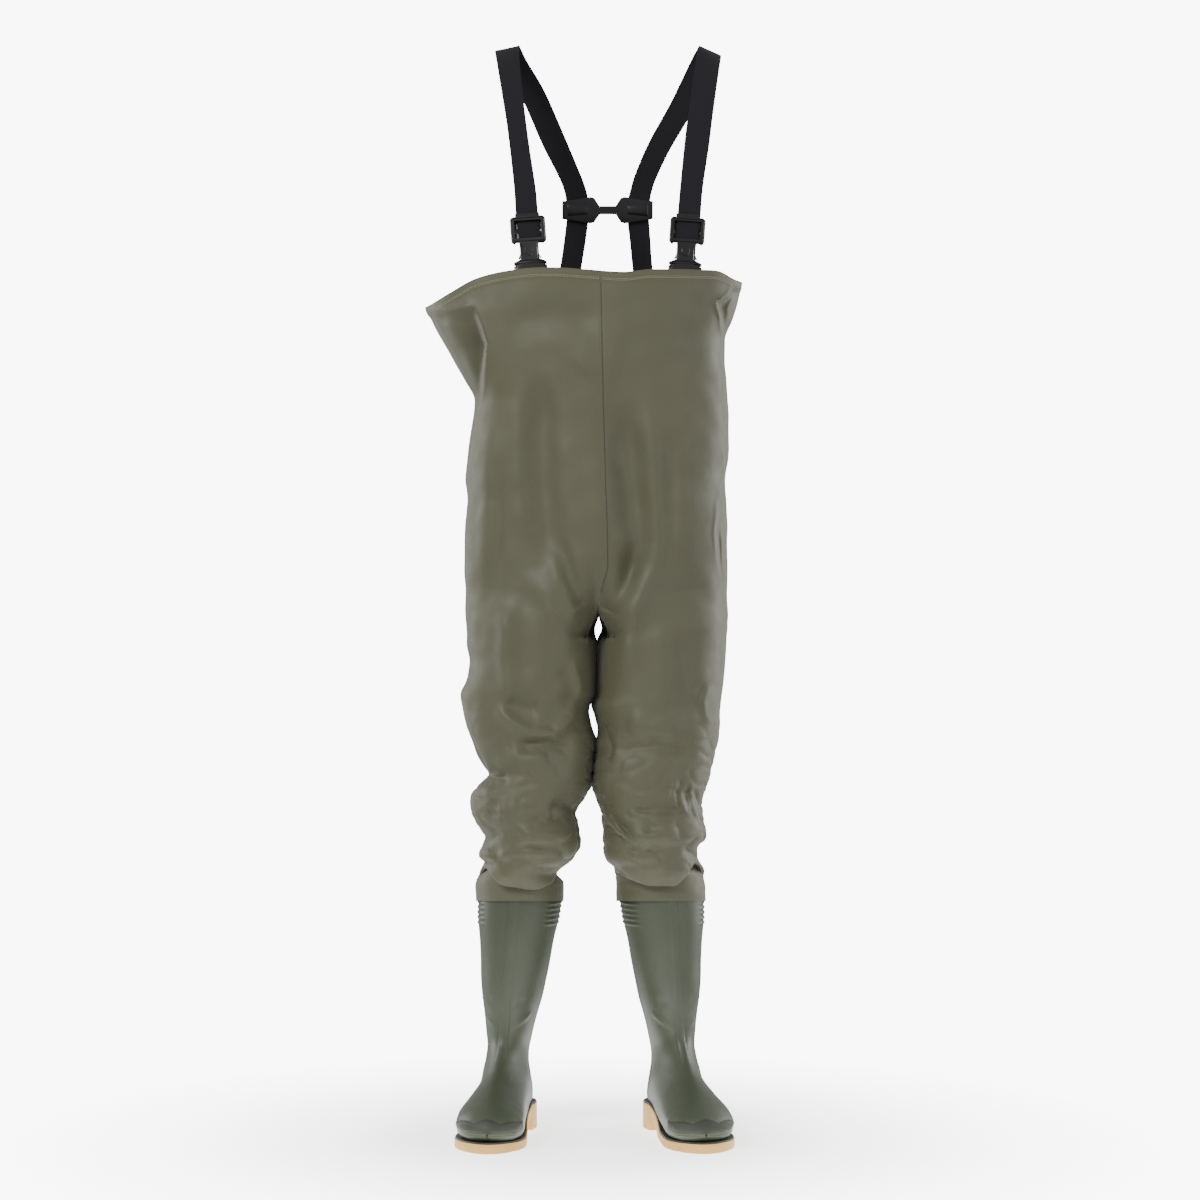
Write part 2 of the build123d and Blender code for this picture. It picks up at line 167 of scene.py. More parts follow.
def coated_fabric(name, color, roughness=0.58):
    """PVC-coated woven fabric: a faint plain weave under a smooth skin, slightly uneven."""
    n = Nodes(name)
    at = n.coords()
    big, mid = n.noise(at, 5.0, 3), n.noise(at, 42.0, 3)
    c = n.ramp(big, "Fac", [(0.3, tint(color, 0.93)), (0.5, color),
                            (0.72, (color[0] * 1.05, color[1] * 1.03, color[2] * 1.0))])
    m = n.mix(mid, "Fac", (c, "Color"), tint(color, 1.04))
    n.tree.links.new(m.outputs[2], n.shader.inputs["Base Color"])
    r = n.ramp(mid, "Fac", [(0.3, (roughness - 0.04,) * 3), (0.7, (roughness + 0.06,) * 3)])
    n.link(r, "Color", n.shader, "Roughness")
    weave = []
    for axis in ("X", "Z"):
        w = n.add("ShaderNodeTexWave", bands_direction=axis, wave_profile="SIN", Scale=260.0,
                  Distortion=0.6, Detail=1.0)
        n.link(at, "Vector", w, "Vector")
        weave.append(w)
    both = n.add("ShaderNodeMath", operation="MULTIPLY")
    n.link(weave[0], "Fac", both, 0)
    n.link(weave[1], "Fac", both, 1)
    b1 = n.bump(mid, "Fac", 0.22, 0.0015)
    b2 = n.bump(both, "Value", 0.06, 0.0003, b1)
    n.link(b2, "Normal", n.shader, "Normal")
    n.set(IOR=1.5, Specular_IOR_Level=0.42, Sheen_Weight=0.12, Sheen_Roughness=0.4)
    return n.material


def moulded_pvc(name, color, roughness=0.43, grain=420.0, strength=0.10):
    n = Nodes(name)
    at = n.coords()
    big, fine = n.noise(at, 7.0, 3), n.noise(at, grain, 2)
    c = n.ramp(big, "Fac", [(0.3, tint(color, 0.9)), (0.55, color), (0.75, tint(color, 1.08))])
    n.link(c, "Color", n.shader, "Base Color")
    r = n.ramp(big, "Fac", [(0.3, (roughness - 0.04,) * 3), (0.7, (roughness + 0.08,) * 3)])
    n.link(r, "Color", n.shader, "Roughness")
    b = n.bump(fine, "Fac", strength, 0.0004)
    n.link(b, "Normal", n.shader, "Normal")
    n.set(IOR=1.5)
    return n.material


def sole_rubber(name, color):
    n = Nodes(name)
    at = n.coords()
    big, fine = n.noise(at, 14.0, 4), n.noise(at, 500.0, 2)
    c = n.ramp(big, "Fac", [(0.28, tint(color, 0.86)), (0.55, color),
                            (0.8, (min(1, color[0] * 1.05), color[1] * 1.08, color[2] * 1.2))])
    n.link(c, "Color", n.shader, "Base Color")
    n.set(Roughness=0.55)
    b = n.bump(fine, "Fac", 0.15, 0.0004)
    n.link(b, "Normal", n.shader, "Normal")
    return n.material


def webbing_cloth(name, color):
    """Elastic webbing: fine ribs across and a fuzzy sheen.  UV in metres."""
    n = Nodes(name)
    at = n.coords(uv=True)
    ribs = n.add("ShaderNodeTexWave", bands_direction="Y", wave_profile="SIN", Scale=300.0,
                 Distortion=0.8, Detail_Scale=4.0)
    warp = n.add("ShaderNodeTexWave", bands_direction="X", wave_profile="SIN", Scale=210.0,
                 Distortion=0.5)
    for w in (ribs, warp):
        n.link(at, "Vector", w, "Vector")
    both = n.add("ShaderNodeMath", operation="MULTIPLY_ADD")
    n.link(ribs, "Fac", both, 0)
    both.inputs[1].default_value = 0.6
    n.link(warp, "Fac", both, 2)
    fuzz = n.noise(at, 900.0, 2)
    c = n.ramp(both, "Value",
               [(0.2, tint(color, 0.7)), (0.9, tint(color, 1.15)), (1.0, tint(color, 1.3))])
    n.link(c, "Color", n.shader, "Base Color")
    b1 = n.bump(both, "Value", 0.5, 0.0004)
    b2 = n.bump(fuzz, "Fac", 0.25, 0.0003, b1)
    n.link(b2, "Normal", n.shader, "Normal")
    n.set(Roughness=0.85, Sheen_Weight=0.08, Sheen_Roughness=0.5, Specular_IOR_Level=0.16)
    return n.material


OLIVE = (0.067, 0.0665, 0.0375)
GREEN = (0.040, 0.050, 0.029)
suit_material = coated_fabric("coated_fabric", OLIVE)
inner_material = coated_fabric("fabric_inside", (0.085, 0.082, 0.06), 0.7)
boot_material = moulded_pvc("boot_pvc", GREEN)
patch_material = moulded_pvc("boot_patch", tint(GREEN, 0.5), 0.6, 300.0, 0.7)
joint_material = moulded_pvc("sole_joint", (0.010, 0.012, 0.008), 0.5)
sole_material = sole_rubber("sole_rubber", (0.56, 0.325, 0.092))
webbing_material = webbing_cloth("webbing", (0.0095, 0.0088, 0.0118))
plastic_material = moulded_pvc("black_plastic", (0.0055, 0.0055, 0.006), 0.27, 700.0, 0.06)
thread_material = moulded_pvc("thread", (0.34, 0.33, 0.22), 0.7, 900.0)
lining_material = coated_fabric("boot_lining", (0.12, 0.12, 0.10), 0.9)


# ------------------------------------------------------------------ mesh helpers
def make_mesh(name, points, faces, material, body=None, normals=None, uv=None):
    """A smooth-shaded mesh object from points in mm."""
    mesh = bpy.data.meshes.new(name)
    faces = np.asarray(faces, np.int32)
    mesh.vertices.add(len(points))
    mesh.vertices.foreach_set("co", (np.asarray(points, np.float64) / 1000).ravel())
    mesh.loops.add(faces.size)
    mesh.loops.foreach_set("vertex_index", faces.ravel())
    mesh.polygons.add(len(faces))
    mesh.polygons.foreach_set("loop_start", np.arange(0, faces.size, faces.shape[1], dtype=np.int32))
    mesh.update(calc_edges=True)
    mesh.polygons.foreach_set("use_smooth", np.ones(len(faces), bool))
    if uv is not None:
        layer = mesh.uv_layers.new(name="UVMap")
        layer.data.foreach_set("uv", np.asarray(uv, np.float64)[faces.ravel()].ravel())
    mesh.validate()
    if normals is not None:
        mesh.normals_split_custom_set_from_vertices([tuple(v) for v in normals])
    mesh.materials.append(material)
    obj = bpy.data.objects.new(name, mesh)
    bpy.context.scene.collection.objects.link(obj)
    if body:
        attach(obj, body)
    return obj


def grid_faces(rows, columns, closed=True):
    """Quads of a grid of vertices, rows first; closed joins the last column to the first."""
    r, c = np.meshgrid(np.arange(rows - 1), np.arange(columns if closed else columns - 1),
                       indexing="ij")
    n = (c + 1) % columns
    return np.stack([r * columns + c, (r + 1) * columns + c, (r + 1) * columns + n,
                     r * columns + n], -1).reshape(-1, 4)


def vertex_normals(points, faces):
    a, b, c, d = (points[faces[:, i]] for i in range(4))
    n = np.cross(c - a, d - b)
    out = np.zeros_like(points)
    for i in range(4):
        np.add.at(out, faces[:, i], n)
    return out / np.maximum(np.linalg.norm(out, axis=1, keepdims=True), 1e-9)


def seg_distance(x, z, path):
    """Signed distance (positive to the right of the path as drawn) and place along it, 0 to 1."""
    path = np.array(path, float)
    total = np.r_[0, np.cumsum(np.linalg.norm(np.diff(path, axis=0), axis=1))]
    best = np.full(x.shape, 1e9)
    sign, along = np.ones(x.shape), np.zeros(x.shape)
    for i in range(len(path) - 1):
        (ax, az), (bx, bz) = path[i], path[i + 1]
        dx, dz = bx - ax, bz - az
        length = math.hypot(dx, dz)
        t = np.clip(((x - ax) * dx + (z - az) * dz) / length**2, 0, 1)
        px, pz = x - ax - t * dx, z - az - t * dz
        d = np.hypot(px, pz)
        near = d < best
        best = np.where(near, d, best)
        side = np.sign(pz * dx - px * dz)
        sign = np.where(near, -side, sign)
        along = np.where(near, (total[i] + t * length) / total[-1], along)
    return best * np.where(sign == 0, 1, sign), along


def ends(t, a=0.2, b=0.2):
    """Fades a fold out towards both of its ends."""
    return smooth(t / a) * smooth((1 - t) / b)


def wave_noise(x, y, z, seed, scale):
    """Smooth repeatable unevenness, about -1 to 1."""
    rng = np.random.default_rng(seed)
    total = np.zeros(np.shape(x))
    for _ in range(9):
        d = rng.normal(size=3)
        d *= rng.uniform(0.6, 1.6) / (np.linalg.norm(d) * scale)
        total += np.sin(2 * math.pi * (x * d[0] + y * d[1] + z * d[2]) + rng.uniform(0, 6.28))
    return total / 4.5


# ------------------------------------------------------------------ the suit
K, C = 176, 44                    # columns round half the bib, and along the crotch
SEAM = [(560, 18), (805, 19), (860, 30), (879, 35), (1100, 29), (1330, 24)]
# Outline of the bib as seen: height, left, right.
BIB = [(790, -185, 221), (828, -184, 221), (880, -187, 221), (930, -186, 221), (968, -183, 220),
       (983, -181, 219), (1000, -182, 217), (1014, -184, 217), (1045, -181, 222), (1076, -177, 223),
       (1107, -172, 223), (1137, -169, 221), (1168, -184, 219), (1199, -201, 216),
       (1230, -219, 216), (1261, -236, 227), (1279, -244, 233), (1300, -244, 238),
       (1320, -244, 241), (1345, -244, 242)]
# Plan of the bib: height, front y, back y, squareness in front, squareness at the back.
BIB_PLAN = [(790, -84, 146, 2.3, 2.3), (880, -88, 152, 2.5, 2.4), (1000, -94, 156, 2.7, 2.4),
            (1137, -101, 160, 3.0, 2.4), (1250, -107, 166, 2.9, 2.3), (1345, -111, 171, 2.7, 2.3)]
# Outline of each leg as seen: height, outer side, inner side.
LEG = {
    "left": [(365, -169, -33), (388, -170, -36), (404, -164, -45), (416, -157, -36),
             (423, -153, -26), (433, -162, -17), (449, -156, -8), (463, -153, -9), (480, -164, -12),
             (497, -172, -16), (523, -175, -2), (540, -164, 8), (557, -149, 11), (570, -154, 12),
             (590, -166, 15), (611, -175, 17), (624, -181, 13), (643, -187, 8), (655, -189, 6),
             (666, -191, 8), (682, -193, 17), (705, -184, 18), (735, -179, 18), (760, -183, 18),
             (771, -183, 16), (785, -184, 12), (797, -185, 9), (815, -186, 10), (860, -187, 18)],
    "right": [(365, 185, 50), (392, 184, 48), (404, 184, 47), (416, 181, 46), (427, 175, 35),
              (437, 172, 32), (443, 172, 31), (463, 185, 30), (480, 184, 29), (494, 181, 28),
              (517, 179, 21), (535, 184, 13), (553, 190, 11), (580, 197, 13), (611, 204, 17),
              (624, 206, 20), (643, 208, 17), (655, 208, 13), (666, 209, 9), (682, 211, 17),
              (705, 214, 18), (735, 217, 18), (758, 219, 18), (771, 220, 21), (785, 221, 28),
              (795, 221, 29), (806, 222, 25), (830, 222, 24), (860, 221, 30)],
}
# Plan of each leg: height, front y, back y, squareness.
LEG_PLAN = [(365, -44, 112, 2.0), (390, -60, 108, 2.0), (420, -72, 104, 2.1), (470, -80, 112, 2.2),
            (540, -74, 118, 2.2), (600, -70, 122, 2.3), (680, -74, 132, 2.3), (760, -80, 142, 2.3),
            (860, -87, 148, 2.4)]
CUFF_FOOT, CUFF_BACK = 362.0, 117.0
SKIN = 1.1                        # between the outer and the inner skin
BIB_ROWS = 124
HIP_Z, KNEE_Z = 846, 660          # where the legs begin, and where their lower pieces begin


def loop_plan(left, right, front, back, sq_front, sq_back, x0, count=720):
    """A closed plan outline starting at the front point x0 and going round by the left."""
    a = np.linspace(0, 2 * math.pi, count, endpoint=False)
    s, c = np.sin(a), np.cos(a)
    mid = (front + back) / 2
    sq = np.where(c > 0, sq_front, sq_back)
    x = np.abs(s) ** (2 / sq)
    y = np.abs(c) ** (2 / sq)
    x = np.where(s > 0, x0 - x * (x0 - left), x0 + x * (right - x0))
    y = np.where(c > 0, mid - y * (mid - front), mid + y * (back - mid))
    return np.stack([x, y], 1)


def even(loop, count, offset=0.0):
    """count points evenly spaced round a closed loop, from a share offset of its length."""
    ring = np.vstack([loop, loop[:1]])
    s = np.r_[0, np.cumsum(np.linalg.norm(np.diff(ring, axis=0), axis=1))]
    at = ((np.arange(count) / count + offset) % 1) * s[-1]
    return np.stack([np.interp(at, s, ring[:, 0]), np.interp(at, s, ring[:, 1])], 1)


BIB_Z = np.arange(780, 1352, 4.0)
LEG_Z = np.arange(340, 900, 4.0)


def bib_table():
    rings = []
    for z in BIB_Z:
        left, right = curve(BIB, z)
        front, back, sf, sb = curve(BIB_PLAN, z)
        x0 = curve(SEAM, z)
        loop = loop_plan(left, right, front, back, sf, sb, x0)
        half = len(loop) // 2
        ring = []
        for part in (loop[:half + 1], np.vstack([loop[half:], loop[:1]])):
            s = np.r_[0, np.cumsum(np.linalg.norm(np.diff(part, axis=0), axis=1))]
            at = np.arange(K) / K * s[-1]
            ring.append(np.stack([np.interp(at, s, part[:, 0]), np.interp(at, s, part[:, 1])], 1))
        rings.append(np.vstack(ring))
    return np.array(rings)


def leg_ring(side, outer, inner, front, back, square):
    """A level ring of a leg, whose columns meet the bib's half and then the crotch."""
    lean = C / (K + C) / 2
    left, right = (outer, inner) if side == "left" else (inner, outer)
    loop = loop_plan(left, right, front, back, square, square, (outer + inner) / 2)
    return even(loop, K + C, lean - 0.25 if side == "left" else lean - 0.75)


def leg_table(side):
    rings = []
    for z in LEG_Z:
        outer, inner = curve(LEG[side], z)
        front, back, sq = curve(LEG_PLAN, z)
        rings.append(leg_ring(side, outer, inner, front, back, sq))
    return np.array(rings)


def look_up(table, heights, z, column):
    i = np.clip((z - heights[0]) / (heights[1] - heights[0]), 0, len(heights) - 1.001)
    lo = i.astype(int)
    t = (i - lo)[..., None]
    return table[lo, column] * (1 - t) + table[lo + 1, column] * t


RIM = [(-246, 1279), (-228, 1292), (-206, 1305), (-175, 1322), (-152, 1330), (-95, 1340),
       (-52, 1342), (0, 1339), (60, 1335), (103, 1339), (180, 1338), (207, 1336), (232, 1323),
       (243, 1317)]


def rim_height(x, y):
    """Top edge of the bib: as seen in front, and falling away to the back."""
    return curve(RIM, x) - 86 * smooth((y - 22) / 140)


def fold_field(x, z):
    """How far (mm) the front stands forward at each place seen, from the folds listed below."""
    push = np.zeros(x.shape)

    def ridge(path, width, height, a=0.25, b=0.25):
        d, t = seg_distance(x, z, path)
        return height * np.exp(-(d / width) ** 2) * ends(t, a, b)

    def step(path, width, height, side, a=0.15, b=0.15, crisp=3.0):
        """The fabric drops away on one side of the path and comes back over width."""
        d, t = seg_distance(x, z, path)
        d = d * side
        return -height * smooth(d / crisp + 0.5) * np.exp(-np.maximum(d, 0) / width) * ends(t, a, b)

    flare = [(-176, 1290), (-154, 1226), (-160, 1150), (-170, 1100), (-180, 1040), (-184, 1000)]
    tuck = [(236, 1318), (222, 1300), (205, 1287), (211, 1266), (216, 1222), (219, 1170)]
    hip = [(221, 1114), (215, 1075), (218, 1014), (205, 974), (201, 933), (208, 860)]
    for path, width, height, *fade in (
        # bib: soft upright hollows, and the panel between them that runs down to the crotch
        ([(-67, 1190), (-68, 1060), (-64, 970), (-52, 890), (-38, 850)], 28, -15),
        ([(56, 1140), (64, 1050), (75, 975), (83, 918), (70, 862), (48, 816)], 26, -19),
        ([(100, 1160), (106, 1020), (106, 915), (88, 840)], 20, 8),
        ([(-104, 1180), (-102, 1020), (-92, 900)], 20, 6),
        ([(-60, 930), (-42, 860), (-22, 815), (-6, 770)], 15, 7, 0.4, 0.2),
        ([(-40, 930), (-24, 866), (-4, 816)], 13, -9, 0.5, 0.05),
        ([(22, 1080), (28, 960), (28, 890)], 26, 6, 0.4, 0.4),
        ([(20, 900), (19, 850), (19, 790), (19, 770)], 22, -46, 0.85, 0.01),
        ([(-150, 1110), (-154, 980), (-160, 850)], 20, 7),
        ([(-136, 1060), (-132, 960), (-140, 840)], 12, -4),
        ([(156, 1200), (156, 1000), (154, 860)], 24, 6),
        ([(132, 1100), (134, 960), (130, 850)], 12, -4),
        ([(-130, 1250), (-60, 1266), (30, 1262)], 24, -5),
        ([(-20, 1180), (0, 1200), (60, 1190)], 40, 5),
        # the flare at the left: the front's edge is a crease and the side drops back behind it
        (flare, 5, 4.0, 0.2, 0.3),
        ([(-240, 1282), (-205, 1278), (-166, 1284)], 7, 5.0),
        ([(-236, 1268), (-200, 1262), (-164, 1262)], 8, -4.0),
        # tucks down the right side
        (tuck, 4, 5, 0.1, 0.3),
        ([(232, 1300), (222, 1282), (219, 1250)], 4, 5),
        (hip, 5, 4, 0.3, 0.3),
        ([(214, 1000), (211, 930), (217, 852)], 5, 3.5, 0.4, 0.4),
        ([(207, 940), (210, 890), (215, 850)], 3, -4),
        ([(-188, 1012), (-178, 1002), (-174, 985), (-182, 960)], 4, 2.5),
        # thighs
        ([(84, 930), (62, 852), (36, 806)], 15, -12, 0.5, 0.05),
        ([(100, 890), (82, 826), (66, 776), (60, 700)], 16, 9, 0.3, 0.3),
        ([(-76, 880), (-52, 810), (-30, 770), (-22, 730)], 16, 8, 0.3, 0.3),
        ([(-124, 830), (-126, 740), (-114, 660)], 14, 7),
        ([(-92, 850), (-96, 740), (-90, 690)], 16, -5),
        ([(-42, 728), (-26, 704), (-20, 684), (-40, 662)], 12, -5),
        ([(-20, 740), (-6, 700), (-6, 670)], 10, 6),
        ([(-124, 676), (-96, 662), (-66, 660)], 16, -8),
        ([(-148, 672), (-116, 640), (-84, 622), (-48, 622), (-20, 644), (-12, 676)], 10, 11),
        ([(-110, 590), (-90, 604), (-62, 608), (-38, 602), (-24, 584)], 12, -9),
        ([(-126, 594), (-92, 580), (-50, 580)], 16, 7),
        ([(52, 582), (76, 598), (112, 604), (148, 598), (168, 580)], 12, -8),
        ([(60, 646), (100, 632), (156, 636)], 18, 8),
        ([(196, 700), (184, 672), (188, 650), (202, 632)], 7, 5),
        ([(184, 704), (176, 668), (186, 640)], 11, -4),
        ([(120, 800), (122, 700), (118, 640)], 18, 6),
        ([(150, 780), (156, 700), (150, 630)], 14, -4),
        # knees and lower legs
        ([(-156, 558), (-138, 550), (-116, 552)], 7, -9),
        ([(-168, 540), (-150, 530), (-142, 516)], 5, 7),
        ([(-12, 498), (-34, 510), (-56, 514)], 7, -8),
        ([(-6, 474), (-40, 462), (-80, 460), (-112, 470)], 11, 8),
        ([(-26, 486), (-60, 490), (-92, 486)], 5, -4),
        ([(-32, 452), (-70, 446), (-104, 450)], 4, -3.5),
        ([(-36, 438), (-70, 434), (-104, 438)], 4, 2.5),
        ([(-158, 470), (-144, 446), (-128, 426)], 7, -7),
        ([(-158, 440), (-144, 428), (-126, 412)], 5, 5),
        ([(-130, 540), (-128, 470), (-122, 410)], 9, 5),
        ([(60, 470), (100, 460), (150, 470)], 12, 8),
        ([(70, 500), (110, 506), (150, 500)], 9, -6),
        ([(150, 446), (164, 434), (172, 420)], 5, -7),
        ([(160, 452), (172, 440), (178, 426)], 4, 5),
        ([(58, 446), (90, 438), (126, 444)], 5, -4),
    ):
        push += ridge(path, width, height, *fade)
    push += step(flare, 46, 40, 1, 0.25, 0.12, 4)
    push += step(tuck, 22, 20, -1, 0.1, 0.25)
    push += step(hip, 22, 9, -1, 0.3, 0.3, 6)
    push += step([(34, 640), (46, 600), (40, 575)], 20, 12, 1)
    for i, top in enumerate([(142, 556), (152, 549), (162, 541), (172, 530)]):
        push += ridge([top, (top[0] - 8 + i * 5, 522 - i * 3), (150 + i * 12, 494 - i * 4)], 3.4, 6)
        push += ridge([(top[0] + 5, top[1] - 4), (158 + i * 9, 504 - i * 4)], 3.2, -5)
    for i in range(5):
        push += ridge([(20 + i * 2, 530 - i * 12), (34 + i * 6, 500 - i * 8), (50 + i * 8, 466 - i * 5)],
                      3.2, 6)
        push += ridge([(25 + i * 2, 520 - i * 12), (40 + i * 6, 490 - i * 8)], 3.0, -5)
    return push


def back_fold_field(x, z, back):
    """Folds of the back, which only other views show."""
    push = np.zeros(x.shape)

    def ridge(path, width, height):
        d, t = seg_distance(x, z, path)
        return height * np.exp(-(d / width) ** 2) * ends(t)

    for path, width, height in (
        ([(-60, 1180), (-66, 1000), (-50, 880), (-10, 820)], 20, -9),
        ([(96, 1160), (100, 980), (80, 880), (40, 822)], 20, -9),
        ([(-130, 1140), (-136, 960), (-128, 840)], 26, 6),
        ([(168, 1140), (170, 960), (160, 840)], 26, 6),
        ([(-140, 790), (-80, 770), (-20, 780)], 12, -6), ([(60, 780), (120, 770), (180, 792)], 12, -6),
        ([(-150, 560), (-90, 540), (-20, 556)], 11, -9), ([(40, 552), (110, 536), (180, 556)], 11, -9),
        ([(-150, 520), (-90, 504), (-20, 516)], 13, 7), ([(40, 512), (110, 498), (176, 516)], 13, 7),
        ([(-140, 470), (-90, 456), (-30, 470)], 10, -7), ([(50, 468), (110, 452), (170, 470)], 10, -7),
        ([(-140, 620), (-84, 606), (-30, 622)], 12, 5), ([(50, 616), (110, 604), (180, 622)], 12, 5),
        ([(25, 1230), (30, 1000), (24, 860)], 26, 5),
    ):
        push += ridge(path, width, height)
    return push * back


def overhang(side, x, y):
    """Lowest height of the fabric that hangs over the cuff, round the leg."""
    if side == "left":
        front = curve([(-165, 420), (-152, 410), (-132, 390), (-105, 383), (-82, 381), (-60, 390),
                       (-39, 408), (-28, 416)], x)
    else:
        front = curve([(40, 418), (62, 402), (92, 388), (118, 386), (139, 387), (157, 402),
                       (172, 420), (184, 424)], x)
    back = 404 + 6 * np.sin(x / 19.0)
    w = smooth(y / 60.0 + 0.3)
    return front * (1 - w) + back * w


def build_suit():
    """All of the suit's surface: points, faces and the part each face belongs to."""
    bib = bib_table()
    columns = np.arange(2 * K)
    rows = BIB_ROWS
    t = np.linspace(0, 1, rows)
    ring_top = look_up(bib, BIB_Z, np.full(2 * K, 1320.0), columns)
    top = rim_height(ring_top[:, 0], ring_top[:, 1])
    ring_top = look_up(bib, BIB_Z, top, columns)
    top = rim_height(ring_top[:, 0], ring_top[:, 1])
    side_of = np.minimum(columns % K, K - columns % K) / (K / 2)      # 0 at the seams, 1 at the sides
    behind = (columns > K / 2) & (columns < 3 * K / 2)
    split = HIP_Z - np.where(behind, 14, 26) * (1 - side_of) ** 3
    z = top[None, :] + (split - top)[None, :] * t[:, None]
    xy = look_up(bib, BIB_Z, z, np.broadcast_to(columns, z.shape))
    bib_points = np.dstack([xy, z])
    last = bib_points[-1]
    points = [bib_points.reshape(-1, 3)]
    faces = [grid_faces(rows, 2 * K)]
    part = [np.zeros(len(faces[0]), int) + (faces[0][:, 0] % (2 * K) >= K)]
    base = rows * 2 * K
    front_id, back_id = (rows - 1) * 2 * K, (rows - 1) * 2 * K + K
    # the crotch curve, from the back seam to the front seam
    u = np.linspace(0, 1, C + 1)[1:-1]
    f, b = last[0], last[K]
    dip = np.sin(math.pi * u) ** 0.8
    crotch = np.stack([b[0] + (f[0] - b[0]) * u, b[1] + (f[1] - b[1]) * u,
                       b[2] + (f[2] - b[2]) * u - 16 * dip], 1)
    points.append(crotch)
    crotch_ids = base + np.arange(C - 1)
    base += C - 1
    order = np.arange(K + C)
    for side in SIDES:
        table = leg_table(side)
        if side == "left":
            top_ids = np.r_[(rows - 1) * 2 * K + np.arange(K), back_id, crotch_ids]
            top_pts = np.vstack([last[:K], last[K:K + 1], crotch])
        else:
            top_ids = np.r_[(rows - 1) * 2 * K + K + np.arange(K), front_id, crotch_ids[::-1]]
            top_pts = np.vstack([last[K:], last[:1], crotch[::-1]])
        n = K + C
        ring0 = look_up(table, LEG_Z, np.full(n, 400.0), order)
        low = overhang(side, ring0[:, 0], ring0[:, 1])
        main, tuck, cuff = 118, 8, 14
        zs, ins = [], []
        for k in range(1, main + 1):
            zs.append(top_pts[:, 2] + (low - top_pts[:, 2]) * k / main)
            ins.append(np.zeros(n))
        outer_x, inner_x = CUFF_EDGE[side][0][1], CUFF_EDGE[side][0][2]
        across = np.abs(ring0[:, 0] - (outer_x + inner_x) / 2) / (abs(outer_x - inner_x) / 2)
        rise = 9 * smooth((1.02 - across) / 0.22)
        for k in range(1, tuck + 1):
            a = math.pi * k / tuck
            zs.append(low - 0.35 * rise * math.sin(a) + rise * (1 - math.cos(a)) / 2
                      - 0.5 * (9 - rise) * k / tuck)
            ins.append(np.full(n, (1 - math.cos(a)) / 2))
        after = zs[-1]
        for k in range(1, cuff + 1):
            zs.append(after + (CUFF_FOOT - after) * k / cuff)
            ins.append(np.ones(n))
        zs, ins = np.array(zs), np.array(ins)
        col = np.broadcast_to(order, zs.shape)
        ring = look_up(table, LEG_Z, np.maximum(zs, low[None, :] - 2), col)
        band = cuff_ring(side, zs, col)
        # round off towards the overhang, then turn under to the cuff band
        above = zs - low[None, :]
        full = smooth((above + 4) / 22.0) ** 0.5
        bulge = ring + (band - ring) * (0.32 * (1 - full))[..., None]
        xy = bulge * (1 - ins[..., None]) + band * ins[..., None]
        blend_up = smooth((top_pts[None, :, 2] - zs) / np.where(np.arange(n) > K, 40, 66)[None, :])
        xy = top_pts[None, :, :2] * (1 - blend_up[..., None]) + xy * blend_up[..., None]
        leg_points = np.dstack([xy, zs])
        count = leg_points.shape[0]
        ids = np.vstack([top_ids, base + np.arange(count * n).reshape(count, n)])
        a, b2 = ids[:-1], ids[1:]
        quad = np.stack([a, b2, np.roll(b2, -1, 1), np.roll(a, -1, 1)], -1)
        faces.append(quad.reshape(-1, 4))
        height = zs.mean(1)
        low_row = np.arange(count)[:, None] + np.zeros((1, n), int)
        split_row = int(np.argmin(np.abs(height - KNEE_Z)))
        part.append(np.where(low_row.reshape(-1) <= split_row, 0, 2) + (side == "right"))
        points.append(leg_points.reshape(-1, 3))
        base += count * n
    return np.vstack(points), np.vstack(faces), np.concatenate(part), rows


# The cuff band as seen, welded over the boot's top: height, outer edge, inner edge.
CUFF_EDGE = {
    "left": [(362, -169, -33.5), (380, -169.5, -33), (391, -169, -33.5), (398, -167, -39),
             (404, -161, -45), (414, -152, -48), (432, -146, -50)],
    "right": [(362, 187, 48), (380, 186.5, 48), (392, 184.5, 48), (404, 181, 47),
              (414, 172, 49), (432, 164, 52)],
}


def cuff_ring(side, zs, col):
    heights = np.arange(356, 440, 4.0)
    rings = []
    for z in heights:
        outer, inner = curve(CUFF_EDGE[side], z)
        front = curve([(356, -35), (390, -36), (432, -40)], z)
        rings.append(leg_ring(side, outer, inner, front, CUFF_BACK, 2.0))
    return look_up(np.array(rings), heights, np.clip(zs, 356, 432), col)


points, faces, part, bib_rows = build_suit()
faces = faces[:, ::-1]
# real depth, then the front's folds towards the eye and all others along the normal
points[:, 0], points[:, 2] = seen(points[:, 0], points[:, 2], points[:, 1])
normals = vertex_normals(points, faces)
k = (points[:, 1] - EYE[1]) / -EYE[1]
sx = EYE[0] + (points[:, 0] - EYE[0]) / k
sz = EYE[2] + (points[:, 2] - EYE[2]) / k
back = smooth(normals[:, 1] * 1.6 + 0.1)
cuff_mask = smooth((sz - 392) / 22)
forward = fold_field(sx, sz) * smooth((42 - points[:, 1]) / 62) * smooth((sz - 396) / 24)
points[:, 1] -= forward
points[:, 0] = EYE[0] + (sx - EYE[0]) * (points[:, 1] - EYE[1]) / -EYE[1]
normals = vertex_normals(points, faces)
push = back_fold_field(sx, sz, back)
x, y, z = points.T
push += 2.2 * wave_noise(x, y, z * 0.35, 3, 120) + 0.7 * wave_noise(x, y, z, 5, 48)
creases = np.abs(wave_noise(x * 0.8 + z * 0.25, y * 0.8, z * 1.5, 11, 74))
low_leg = smooth((690 - sz) / 150)
push += (0.4 + 6.5 * low_leg) * np.minimum(creases, 0.32)
knee = np.exp(-((sz - 490) / 70) ** 2)
